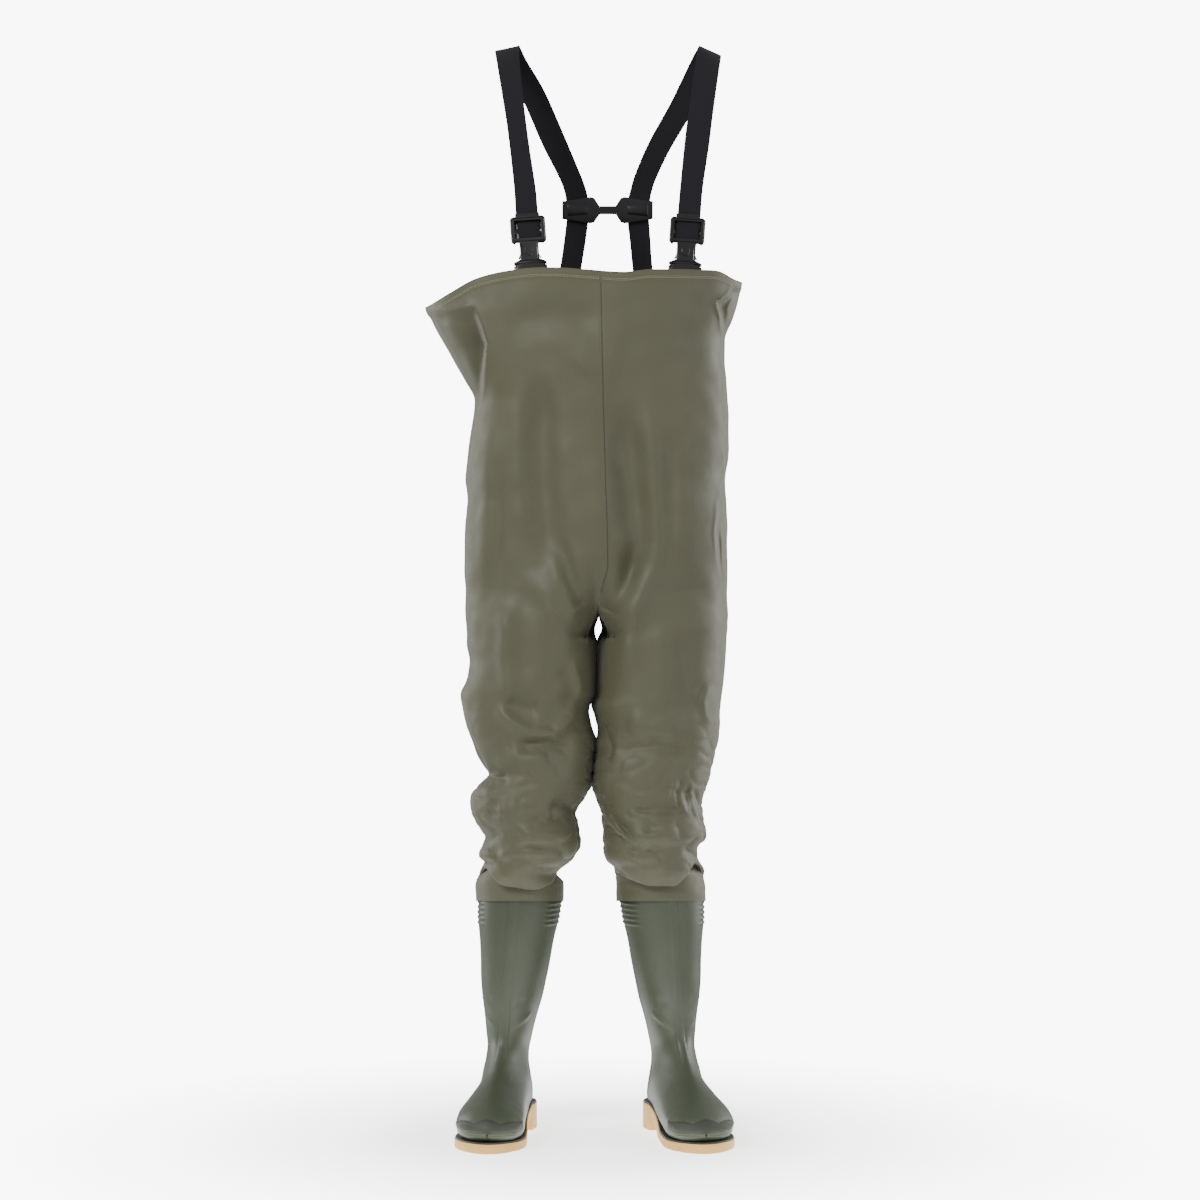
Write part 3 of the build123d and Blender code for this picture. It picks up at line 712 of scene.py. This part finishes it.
push += knee * (0.9 * wave_noise(x * 0.6, y * 0.6, z * 1.9, 7, 34)
                + 0.5 * wave_noise(x * 0.7, y * 0.7, z * 2, 9, 15))
push *= cuff_mask
band = (1 - cuff_mask) * smooth((sz - 364) / 8)
push += band * (0.9 * np.abs(wave_noise(x * 0.35, y * 0.35, z * 2.4, 15, 44))
                + 0.5 * wave_noise(x, y, z, 17, 40))
# hem: a doubled band under the rim, and the stitched step below it
row_of = np.full(len(points), -1)
row_of[:bib_rows * 2 * K] = np.repeat(np.arange(bib_rows), 2 * K)
column_of = np.zeros(len(points), int)
column_of[:bib_rows * 2 * K] = np.tile(np.arange(2 * K), bib_rows)
below = points[column_of, 2] - points[:, 2]
in_bib = row_of >= 0
hem = np.where(in_bib, smooth((13.5 - below) / 2.2), 0)
push += 1.3 * hem - 0.8 * np.where(in_bib, np.exp(-((below - 10.5) / 1.4) ** 2), 0)
# middle seams, front and back: one panel laps the other
seam_step = np.where(in_bib, np.minimum(column_of, 2 * K - column_of), 99)
seam_back = np.where(in_bib, np.abs(column_of - K), 99)
for d in (seam_step, seam_back):
    push += np.where(d == 0, -0.5, 0) + np.where(d == 1, 0.3, 0)
points = points + normals * push[:, None]
normals = vertex_normals(points, faces)


def suit_piece(name, keep, nodes):
    """One part of the suit with its outer and inner skin, as two separate meshes."""
    mine = faces[keep]
    used, index = np.unique(mine, return_inverse=True)
    quads = index.reshape(-1, 4)
    outer = points[used]
    inner = outer - normals[used] * SKIN
    obj = make_mesh(name, outer, quads, suit_material, normals=normals[used])
    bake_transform(obj)
    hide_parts(*nodes)
    inside = make_mesh(name + "_inside", inner, quads[:, ::-1], inner_material, normals=-normals[used])
    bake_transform(inside)


for i, side in enumerate(SIDES):
    suit_piece(f"{side}_upper_suit", part == i,
               [f"{side}_bib_panel", f"{side}_hip_panel", f"{side}_thigh_panel"]
               + (["bib_rim_hem"] if i == 0 else []))
    suit_piece(f"{side}_lower_suit", part == 2 + i,
               [f"{side}_knee_panel", f"{side}_leg_cuff"])

# rolled edge round the rim, joining the two skins
rim = points[:2 * K]
rim_n = normals[:2 * K]


def tube(path, radius, sides=8, closed=True):
    """Points and faces of a round tube along a path."""
    path = np.asarray(path, float)
    ahead = np.roll(path, -1, 0) - np.roll(path, 1, 0) if closed else np.gradient(path, axis=0)
    ahead /= np.linalg.norm(ahead, axis=1, keepdims=True)
    up = np.tile([0.0, 0.0, 1.0], (len(path), 1))
    up[np.abs(ahead[:, 2]) > 0.9] = [0, 1, 0]
    a = np.cross(ahead, up)
    a /= np.linalg.norm(a, axis=1, keepdims=True)
    b = np.cross(a, ahead)
    ang = np.linspace(0, 2 * math.pi, sides, endpoint=False)
    radius = np.broadcast_to(np.asarray(radius, float), (len(path),))
    ring = (path[:, None] + radius[:, None, None]
            * (np.cos(ang)[None, :, None] * a[:, None] + np.sin(ang)[None, :, None] * b[:, None]))
    pts = ring.reshape(-1, 3)
    f = grid_faces(len(path) + (1 if closed else 0), sides)
    return pts, f % len(pts)


edge = rim - rim_n * SKIN / 2
for i, side in enumerate(SIDES):
    part_edge = np.vstack([edge[i * K:(i + 1) * K], edge[((i + 1) * K) % (2 * K)][None]])
    pts, f = tube(part_edge, 0.95, 8, closed=False)
    make_mesh(f"{side}_rim_roll", pts, f, suit_material, "torso")


seam_material = coated_fabric("seam", (0.036, 0.035, 0.022), 0.6)
for name, column, lowest in (("front_seam", 0, 838), ("back_seam", K, 850)):
    ids = np.arange(4, bib_rows) * 2 * K + column
    ids = ids[points[ids, 2] > lowest]
    pts, f = tube(points[ids] + normals[ids] * 0.1, 0.7, 6, closed=False)
    make_mesh(name, pts, f, seam_material, "torso")

# ------------------------------------------------------------------ stitches
def stitches(name, path, outward, spacing, length, radius, body,
             material=thread_material):
    """A row of small threads lying along a path, each a tapered bead."""
    path, outward = np.asarray(path, float), np.asarray(outward, float)
    s = np.r_[0, np.cumsum(np.linalg.norm(np.diff(path, axis=0), axis=1))]
    at = np.arange(spacing, s[-1] - spacing, spacing)
    mid = np.stack([np.interp(at, s, path[:, i]) for i in range(3)], 1)
    ahead = np.stack([np.interp(at + 1, s, path[:, i]) for i in range(3)], 1) - mid
    ahead /= np.linalg.norm(ahead, axis=1, keepdims=True)
    out = np.stack([np.interp(at, s, outward[:, i]) for i in range(3)], 1)
    out /= np.linalg.norm(out, axis=1, keepdims=True)
    cross = np.cross(ahead, out)
    u = np.linspace(-1, 1, 7)
    r = radius * np.sqrt(np.maximum(1 - u**2, 0.02))
    ang = np.linspace(0, 2 * math.pi, 6, endpoint=False)
    bead = np.array([[ui * length / 2, ri * math.cos(a), ri * math.sin(a)]
                     for ui, ri in zip(u, r) for a in ang])
    pts = (mid[:, None] + bead[None, :, 0, None] * ahead[:, None]
           + bead[None, :, 1, None] * cross[:, None] + bead[None, :, 2, None] * out[:, None])
    f = grid_faces(7, 6)
    allf = (f[None] + (np.arange(len(mid)) * len(bead))[:, None, None]).reshape(-1, 4)
    return make_mesh(name, pts.reshape(-1, 3), allf, material, body)


def rim_line(depth, columns, lift):
    """Points on the outside of the bib at a depth below the rim."""
    out, nor = [], []
    for c in columns:
        ids = np.arange(12) * 2 * K + c
        below_c = points[ids[0], 2] - points[ids, 2]
        out.append([np.interp(depth, below_c, points[ids, i]) for i in range(3)])
        nor.append([np.interp(depth, below_c, normals[ids, i]) for i in range(3)])
    out, nor = np.array(out), np.array(nor)
    return out + nor * lift, nor


for i, side in enumerate(SIDES):
    columns = [c % (2 * K) for c in range(i * K, (i + 1) * K + 1)]
    for j, depth in enumerate((9.6, 11.8)):
        path, out = rim_line(depth, columns, 0.15)
        stitches(f"{side}_hem_stitch_{j}", path, out, 3.6, 2.6, 0.38, "torso")

# ------------------------------------------------------------------ straps
def ribbon(name, stations, thick, body, replaces, steps=10, across=10, slot="webbing"):
    """Webbing between a left and a right edge.  stations: (left x, z, right x, z, left y, right y)
    as seen from the front, in mm."""
    st = np.array(stations, float)
    left = np.stack([*seen(st[:, 0], st[:, 1], st[:, 4])], 1)
    right = np.stack([*seen(st[:, 2], st[:, 3], st[:, 5])], 1)
    left = np.stack([left[:, 0], st[:, 4], left[:, 1]], 1)
    right = np.stack([right[:, 0], st[:, 5], right[:, 1]], 1)

    def catmull(p):
        p = np.vstack([2 * p[0] - p[1], p, 2 * p[-1] - p[-2]])
        out = []
        for i in range(1, len(p) - 2):
            for t in np.linspace(0, 1, steps, endpoint=False):
                a, b, c, d = p[i - 1:i + 3]
                out.append(0.5 * (2 * b + (c - a) * t + (2 * a - 5 * b + 4 * c - d) * t**2
                                  + (3 * b - a - 3 * c + d) * t**3))
        out.append(p[-2])
        return np.array(out)

    left, right = catmull(left), catmull(right)
    mid = (left + right) / 2
    side = right - left
    width = np.linalg.norm(side, axis=1, keepdims=True)
    side /= width
    ahead = np.gradient(mid, axis=0)
    normal = np.cross(side, ahead)
    normal /= np.linalg.norm(normal, axis=1, keepdims=True)
    s = np.r_[0, np.cumsum(np.linalg.norm(np.diff(mid, axis=0), axis=1))]
    u = np.linspace(-1, 1, across)
    edge = np.sqrt(np.maximum(1 - np.abs(u) ** 14, 0.0))
    section = [(ui, 0.5 * (0.72 + 0.28 * e)) for ui, e in zip(u, edge)]
    section += [(-ui, -0.5 * (0.72 + 0.28 * e)) for ui, e in zip(u, edge)]
    sec = np.array(section)
    pts = (mid[:, None] + sec[None, :, 0, None] * side[:, None] * (width / 2)[:, None]
           + sec[None, :, 1, None] * normal[:, None] * thick)
    m = len(sec)
    uv = np.stack([np.broadcast_to(sec[None, :, 0] * 19, (len(mid), m)),
                   np.broadcast_to(s[:, None], (len(mid), m))], -1).reshape(-1, 2) / 1000
    f = grid_faces(len(mid), m)
    f = np.vstack([f, np.array([[i, i + 1, m - 2 - i, m - 1 - i] for i in range(across - 1)])])
    last = (len(mid) - 1) * m
    f = np.vstack([f, np.array([[last + m - 1 - i, last + m - 2 - i, last + i + 1, last + i]
                                for i in range(across - 1)])])
    obj = make_mesh(name, pts.reshape(-1, 3), f, webbing_material, body, uv=uv)
    split = obj.modifiers.new("edge", "EDGE_SPLIT")
    split.split_angle = math.radians(50)
    if replaces:
        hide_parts(*replaces)
    return obj


WEBBING = 1.9                     # its thickness
STRAPS = {
    "left": [
        (-101.5, 1381, -65.0, 1381, -66, -66), (-107, 1421, -72, 1421, -57, -57),
        (-110.4, 1470, -76.5, 1466, -46, -46), (-120, 1555, -86.5, 1532, -27, -30),
        (-127, 1600, -94, 1590, -12, -14), (-136, 1655, -100.5, 1650, 10, 10),
        (-139.4, 1675, -102.2, 1679, 28, 26), (-139, 1676, -101.8, 1685.5, 40, 40),
        (-136, 1667, -99.0, 1680.5, 54, 52), (-124, 1648, -89.5, 1661, 66, 62),
        (-96, 1600, -62.5, 1615, 86, 82), (-66, 1532, -32.0, 1546, 110, 106),
        (-44, 1489, -12.2, 1499, 126, 124), (-34.0, 1466, -1.0, 1471, 133, 132),
        (-29.8, 1448, 4.5, 1449, 137, 137), (-28.5, 1422, 5.4, 1421, 141, 141),
        (-32, 1389, 1.4, 1386, 147, 147), (-37.5, 1350, -4.8, 1347, 153, 153),
        (-46, 1300, -12, 1297, 161, 161), (-50, 1266, -15, 1264, 167.4, 167.4),
        (-50.7, 1259, -15.6, 1257, 168.2, 168.2),
    ],
    "right": [
        (139.5, 1381, 175.5, 1381, -53, -53), (142.9, 1421, 178.6, 1421, -45, -45),
        (147, 1468, 182.6, 1468, -35, -35), (154.5, 1543, 192.2, 1533, -18, -20),
        (161, 1590, 198, 1580, -6, -8), (169.5, 1650, 207, 1645, 12, 12),
        (174.8, 1679, 210.0, 1665, 26, 28), (176, 1685.5, 209.8, 1670, 40, 40),
        (173, 1680, 206, 1662, 52, 54), (163, 1661, 196, 1644, 62, 66),
        (132, 1597, 163.8, 1580, 86, 90), (99.5, 1538, 131.0, 1524, 108, 112),
        (78.0, 1489, 110.0, 1480, 126, 128), (69.8, 1462, 102.6, 1457, 134, 135),
        (66.0, 1445, 100.4, 1444, 137, 137), (64.9, 1422, 98.7, 1423, 141, 141),
        (69.2, 1382, 101.4, 1381, 147, 147), (72.9, 1345, 104.3, 1343, 153, 153),
        (78, 1300, 111, 1298, 161, 161), (81, 1266, 114, 1264, 167.4, 167.4),
        (81.6, 1259, 114.6, 1257, 168.2, 168.2),
    ],
}
for side in SIDES:
    ribbon(f"{side}_shoulder_strap", STRAPS[side], WEBBING, "suspenders", [f"{side}_strap"])


def as_seen(p):
    """Where a real point (mm) shows in the view plane."""
    k = -EYE[1] / (p[1] - EYE[1])
    return EYE[0] + (p[0] - EYE[0]) * k, EYE[2] + (p[2] - EYE[2]) * k


def real_ribbon(name, edges, thick, body, replaces, **more):
    """A ribbon whose stations are real (left point, right point) pairs."""
    stations = [(*as_seen(a), *as_seen(b), a[1], b[1]) for a, b in edges]
    return ribbon(name, stations, thick, body, replaces, **more)


def back_surface(x, z):
    """How far back the suit's outer skin is at a place on its back."""
    near = np.where(points[:, 1] > 90, (points[:, 0] - x) ** 2 + (points[:, 2] - z) ** 2, np.inf)
    return points[np.argsort(near)[:4], 1].max()


# sewn ends of the back straps, lying on the bib, with a boxed row of stitches
ANCHOR_AT = {"left": (-53.0, -16.5, -0.11), "right": (83.0, 117.0, 0.10)}
for side in SIDES:
    low_x, high_x, slant = ANCHOR_AT[side]
    edges = []
    for z in (1278, 1266, 1254, 1239, 1223, 1207):
        x0, x1 = low_x + (1281 - z) * slant, high_x + (1281 - z) * slant
        y = max(back_surface(x, z) for x in (x0, (x0 + x1) / 2, x1)) + 1.5
        y = max(y, 170.4) if z > 1260 else y
        edges.append(((x0, y, z), (x1, y, z)))
    real_ribbon(f"{side}_back_anchor", edges, WEBBING, "torso", [f"{side}_strap_anchor"])
    inset = [(a[0] + 4, a[1] + 1.0, a[2]) for a, b in edges[1:]]
    inset += [(b[0] - 4, b[1] + 1.0, b[2]) for a, b in edges[:0:-1]]
    box = np.array(inset + [inset[0]])
    stitches(f"{side}_anchor_stitch", box, np.tile([0, 1, 0], (len(box), 1)), 3.2, 2.2, 0.3, "torso",
             webbing_material)


# webbing loops that hold the buckle sockets, sewn inside the bib
def buckle_axes(side):
    hand = -1 if side == "left" else 1
    out = math.sin(math.radians(4)) * hand
    back, up = math.sin(math.radians(13)), math.cos(math.radians(13))
    axis = np.array([out, back, up])
    across = np.array([1, 0, -out / up])
    axis, across = axis / np.linalg.norm(axis), across / np.linalg.norm(across)
    origin = np.array([35 + hand * 118, -76 if side == "left" else -62, 1340])
    return origin, across, np.cross(axis, across), axis


LOOP = [(11.8, -80), (7.2, -66), (0.6, -46), (-5.0, -34.5), (-5.3, -30.2), (-4.4, -28.6), (0, -28.1),
        (4.4, -28.6), (5.3, -30.2), (5.6, -34.5), (8.8, -50), (11.6, -66), (14.0, -80)]
for side in SIDES:
    origin, across, depth, axis = buckle_axes(side)
    middle = [origin + depth * y + axis * z for y, z in LOOP]
    edges = [(m - across * 17.6, m + across * 17.6) for m in middle]
    real_ribbon(f"{side}_buckle_loop", edges, 1.4, "torso", [f"{side}_socket_tab"], steps=5)


# moulded faces of the plugs: the ladder frame behind the webbing, its raised border and the neck
def rounded(half_x, low, high, radius, count=8):
    """A rounded rectangle in the buckle's own x and z."""
    out = []
    for cx, cz, a0 in ((half_x - radius, high - radius, 0), (radius - half_x, high - radius, 90),
                       (radius - half_x, low + radius, 180), (half_x - radius, low + radius, 270)):
        for a in np.radians(a0 + np.linspace(0, 90, count)):
            out.append((cx + radius * math.cos(a), cz + radius * math.sin(a)))
    return out


def domed_plate(name, outline, face_y, back_y, body, edge=1.2):
    """A closed plate with softened front edges, in the buckle's own frame."""
    origin, across, depth, axis = buckle_axes(name.split("_")[0])
    outline = np.array(outline)
    middle = outline.mean(0)
    reach = np.abs(outline - middle).max(0)
    rings = []
    for inset, y in ((1.0, back_y), (0.0, back_y), (0.0, face_y + edge), (0.3 * edge, face_y + 0.3 * edge),
                     (edge, face_y), (reach.min() - 0.4, face_y - 0.15)):
        k = 1 - inset / reach if inset < reach.min() - 1 else np.full(2, 0.02)
        p = middle + (outline - middle) * k
        rings.append(origin + across * p[:, :1] + depth * y + axis * p[:, 1:])
    pts = np.vstack([origin + across * middle[0] + depth * back_y + axis * middle[1]
                     + (rings[0] - rings[0].mean(0)) * 0.02, *rings])
    return make_mesh(name, pts, grid_faces(len(rings) + 1, len(outline))[:, ::-1], plastic_material, body)


def border(name, outline, y, radius, body, closed=True):
    """A raised moulded line on a buckle's face."""
    origin, across, depth, axis = buckle_axes(name.split("_")[0])
    path = [origin + across * x + depth * y + axis * z for x, z in outline]
    pts, f = tube(path, radius, 8, closed=closed)
    return make_mesh(name, pts, f, plastic_material, body)


for side in SIDES:
    body = f"{side}_plug"
    domed_plate(f"{side}_frame_back", rounded(22.0, 37.5, 71.5, 3), 1.7, 3.6, body, 0.4)
    border(f"{side}_frame_border", rounded(25.2, 36.0, 73.2, 5), -5.7, 1.25, body)
    border(f"{side}_neck_mark", [(-6, 24), (-6, 18), (-4.6, 14.4), (0, 12.6), (4.6, 14.4), (6, 18), (6, 24)],
           -5.7, 0.8, body, closed=False)
    border(f"{side}_wing_line", [(x, 4.6 - 0.0052 * x * x) for x in np.linspace(-20, 20, 15)], -5.8, 1.1,
           body, closed=False)
    for hand in (-1, 1):
        border(f"{side}_neck_rib_{'ab'[hand > 0]}",
               [(hand * 13.6, 33), (hand * 12.6, 24), (hand * 12.8, 15), (hand * 16.5, 7)], -5.6, 1.5,
               body, closed=False)

# ------------------------------------------------------------------ hard parts from the frame
def dress(node, material, bevel=0.0, segments=3):
    obj = NODES[node]
    obj.data.materials.clear()
    obj.data.materials.append(material)
    if bevel:
        weld = obj.modifiers.new("weld", "WELD")
        weld.merge_threshold = 0.00002
        m = obj.modifiers.new("bevel", "BEVEL")
        m.width, m.segments, m.limit_method = bevel / 1000, segments, "ANGLE"
        m.angle_limit = math.radians(32)
        m.harden_normals = False
    obj.data.polygons.foreach_set("use_smooth", np.ones(len(obj.data.polygons), bool))


for side in SIDES:
    for name in ("buckle_socket", "buckle_plug", "prong_outer", "prong_inner"):
        dress(f"{side}_{name}", plastic_material, 0.7)
    dress(f"{side}_boot_outsole", sole_material, 1.0)
    dress(f"{side}_boot_rand", joint_material, 0.6)
    dress(f"{side}_boot_insole", lining_material, 0.5)
dress("back_link", plastic_material, 0.8)

# ------------------------------------------------------------------ boots
# Stations down the shaft, round the heel and along to the toe.  Each: forward and height of the
# upper point, forward and height of the lower point, half width, shift towards the inner side.
BOOT = [
    (65, 368, -79, 368, 65.5, 22.5), (63, 330, -79, 330, 62.5, 19), (60, 300, -78, 300, 58, 16.5),
    (56, 270, -77, 270, 54.5, 14), (52, 240, -76, 240, 51, 11), (47, 210, -75, 208, 46.5, 8.5),
    (42, 184, -74, 176, 40.5, 5.5), (40.5, 162, -76, 140, 35.5, 3), (44, 143, -81, 104, 31.5, 1),
    (54, 129, -88, 72, 32.5, 0), (66, 117, -90.5, 44, 36, 0), (80, 107, -80, 22, 37, 0),
    (96, 97, -40, 14, 39, -1), (114, 88, 10, 10, 43, -2), (134, 79, 60, 8, 48, -2),
    (152, 72, 100, 8, 51, -1), (168, 66, 135, 9, 51, 1), (182, 59, 160, 11, 47, 3),
    (194, 51, 180, 14, 39, 5), (202, 43, 192, 17, 27, 6), (206, 36, 200, 21, 14, 7),
    (207.5, 29, 207, 27, 1, 7),
]
BOOT_AT = {"left": (-124.0, 8.0, -1), "right": (142.0, 13.0, 1)}
BOOT_COLUMNS, BOOT_ROWS = 220, 330
BOOT_Y, BOOT_WALL = 38.0, 2.2


def sole_line(forward):
    """Height of the joint between upper and sole."""
    return curve([(-140, 42), (-15, 42), (37, 26), (75, 15), (150, 15), (260, 18)], forward)


def boot_points():
    rows = np.array(BOOT, float)
    mid = np.stack([(rows[:, 0] + rows[:, 2]) / 2, (rows[:, 1] + rows[:, 3]) / 2], 1)
    s = np.r_[0, np.cumsum(np.linalg.norm(np.diff(mid, axis=0), axis=1))]
    at = np.linspace(0, s[-1], BOOT_ROWS)
    uf, uz, lf, lz, w, cx = curve(np.column_stack([s, rows]).tolist(), at)
    a = np.linspace(0, 2 * math.pi, BOOT_COLUMNS, endpoint=False)
    ca, sa = np.cos(a), np.sin(a)
    foot = smooth((at / s[-1] - 0.42) / 0.2)[:, None]
    along = np.sign(ca) * np.abs(ca) ** np.where(ca < 0, 1 - 0.25 * foot, 1)
    wide = np.sign(sa) * np.abs(sa) ** np.where(ca > 0, 1 + 0.12 * foot, 1 - 0.28 * foot)
    forward = (uf + lf)[:, None] / 2 + along * (uf - lf)[:, None] / 2
    height = (uz + lz)[:, None] / 2 + along * (uz - lz)[:, None] / 2
    x = cx[:, None] + wide * w[:, None]
    return np.dstack([x, -forward, height]).reshape(-1, 3)


def boot_detail(p, n):
    """Moulded relief: front rib, cuff ribs, heel ridges, toe patch and bumper."""
    x, f, z = p[:, 0], -p[:, 1], p[:, 2]
    push = np.zeros(len(p))
    middle = np.interp(z, [100, 240, 368], [0, 11, 22.5])
    rib = np.exp(-((x - middle) / 6.5) ** 8) * smooth((n[:, 1] * -1 - 0.2) * 3)
    push += 1.7 * rib * smooth((z - 105) / 40)
    push += 0.5 * np.exp(-((x - middle) / 1.6) ** 2) * smooth((n[:, 1] - 0.2) * 3) * smooth((z - 60) / 30)
    sides = smooth((np.abs(n[:, 0]) - 0.74) * 7)
    for level in (358, 350, 342, 334, 326):
        push += 1.5 * np.exp(-((z - level) / 2.0) ** 4) * sides
    # three curved ridges on each side of the heel
    for i in range(3):
        line = -42 - 11 * i + 0.00115 * (z - 50) ** 2
        reach = smooth((z - 40) / 6) * smooth((112 - 9 * i - z) / 14) * smooth((np.abs(n[:, 0]) - 0.25) * 4)
        push += reach * (np.exp(-((f - line - 5) / 3.2) ** 2) - 1.9 * np.exp(-((f - line) / 1.7) ** 2))
    line = sole_line(f)
    bumper = smooth((f - 84) / 50) * smooth((line + 12 - z) / 2.0)
    push += 2.0 * bumper + 1.2 * smooth((f - 84) / 50) * np.exp(-((z - line - 12.5) / 1.7) ** 2)
    patch = toe_patch(p)
    push += 1.0 * smooth(patch / 1.6)
    push += 0.6 * wave_noise(x, f, z, 21, 90) * smooth((z - 60) / 60)
    for a, b, w, h in (((30, 215), (80, 165), 6, -1.6), ((10, 190), (60, 150), 5, 1.4),
                       ((36, 176), (70, 132), 4, -1.3)):
        d, t = seg_distance(f, z, [a, b])
        push += h * np.exp(-(d / w) ** 2) * ends(t) * smooth(n[:, 0] * x * 0.05)
    return push


def toe_patch(p):
    """Distance (mm) inside the ribbed toe patch, negative outside."""
    x, f, z = p[:, 0], -p[:, 1], p[:, 2]
    line = sole_line(f)
    top = 45 + 5 * np.abs(np.cos((x - 4) / 13.0)) - 0.003 * (x - 4) ** 2
    return np.minimum(np.minimum(f - 150, top - z), z - line - 15)


for side in SIDES:
    ankle, toe_out, hand = BOOT_AT[side]
    p = boot_points()
    f = grid_faces(BOOT_ROWS, BOOT_COLUMNS)
    n = vertex_normals(p, f)
    if np.mean(np.sum((p - p.mean(0)) * n, 1)) < 0:
        n, f = -n, f[:, ::-1]
    inside_sole = p[:, 2] < sole_line(-p[:, 1])
    p2 = p + n * boot_detail(p, n)[:, None]
    p2[:, 2] = np.maximum(p2[:, 2], np.where(inside_sole, sole_line(-p2[:, 1]) - 1.0, p2[:, 2]))
    patch = toe_patch(p)[f[:, 0]] > 0
    if hand > 0:
        p2[:, 0] *= -1
        f = f[:, ::-1]
    a = math.radians(hand * toe_out)
    world = np.stack([ankle + p2[:, 0] * math.cos(a) - p2[:, 1] * math.sin(a),
                      BOOT_Y + p2[:, 0] * math.sin(a) + p2[:, 1] * math.cos(a), p2[:, 2]], 1)
    obj = make_mesh(f"{side}_boot", world, f, boot_material, f"{side}_lower_leg")
    obj.data.materials.append(patch_material)
    obj.data.polygons.foreach_set("material_index", patch.astype(np.int32))
    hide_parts(f"{side}_boot_upper", f"{side}_boot_toe_guard", f"{side}_boot_heel_ridges")
    inward = vertex_normals(world, f)
    lining = make_mesh(f"{side}_boot_inside", world - inward * BOOT_WALL, f[:, ::-1], lining_material,
                       f"{side}_lower_leg")
    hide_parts(f"{side}_boot_lining")

# ------------------------------------------------------------------ floor and light
def backdrop():
    """A plain white surround that only the camera sees."""
    n = Nodes("backdrop")
    glow = n.add("ShaderNodeEmission", Strength=9.0)
    glow.inputs["Color"].default_value = (1, 1, 1, 1)
    n.link(glow, "Emission", n.out, "Surface")
    rows, columns = 24, 48
    up = np.repeat(np.linspace(0.001, math.pi - 0.001, rows), columns)
    round_ = np.tile(np.linspace(0, 2 * math.pi, columns, endpoint=False), rows)
    p = 15000 * np.stack([np.sin(up) * np.cos(round_), np.sin(up) * np.sin(round_), np.cos(up)], 1)
    dome = make_mesh("backdrop", p, grid_faces(rows, columns), n.material)
    for kind in ("diffuse", "glossy", "transmission", "volume_scatter", "shadow"):
        setattr(dome, "visible_" + kind, False)


def pale_floor():
    """A pale round floor that fades into the surround."""
    n = Nodes("floor")
    n.set(Base_Color=(0.9, 0.9, 0.9, 1), Roughness=0.9, Specular_IOR_Level=0.1,
          Emission_Color=(1, 1, 1, 1), Emission_Strength=2.2)
    at = n.coords()
    distance = n.add("ShaderNodeVectorMath", operation="LENGTH")
    n.link(at, "Vector", distance, 0)
    fade = n.ramp(distance, "Value", [(0.25, (0, 0, 0)), (0.9, (1, 1, 1))])
    clear = n.add("ShaderNodeBsdfTransparent")
    mix = n.add("ShaderNodeMixShader")
    n.link(fade, "Color", mix, 0)
    n.link(n.shader, "BSDF", mix, 1)
    n.link(clear, "BSDF", mix, 2)
    n.link(mix, "Shader", n.out, "Surface")
    rim = [(1000 * math.cos(a), 1000 * math.sin(a), -1)
           for a in np.linspace(0, 2 * math.pi, 96, endpoint=False)]
    floor = make_mesh("floor", rim, [list(range(96))], n.material)


backdrop()
pale_floor()
world = bpy.data.worlds.new("studio")
world.use_nodes = True
background = world.node_tree.nodes["Background"]
background.inputs["Color"].default_value = (1, 1, 1, 1)
background.inputs["Strength"].default_value = 0.6
bpy.context.scene.world = world


def area(name, place, target, size, power):
    light = bpy.data.lights.new(name, "AREA")
    light.shape, light.size, light.size_y, light.energy = "RECTANGLE", size[0], size[1], power
    obj = bpy.data.objects.new(name, light)
    obj.location = place
    direction = np.array(target) - np.array(place)
    obj.rotation_euler = Vector(direction).to_track_quat("-Z", "Y").to_euler()
    bpy.context.scene.collection.objects.link(obj)


area("key", (-2.0, -2.8, 2.8), (0, 0, 0.8), (1.3, 1.3), 135)
area("fill", (2.6, -2.4, 1.3), (0, 0, 0.8), (1.6, 2.2), 42)
area("left_edge", (-2.3, 1.1, 1.2), (0, 0, 0.8), (0.9, 2.2), 40)
area("right_edge", (2.3, 1.1, 1.2), (0, 0, 0.8), (0.9, 2.2), 55)
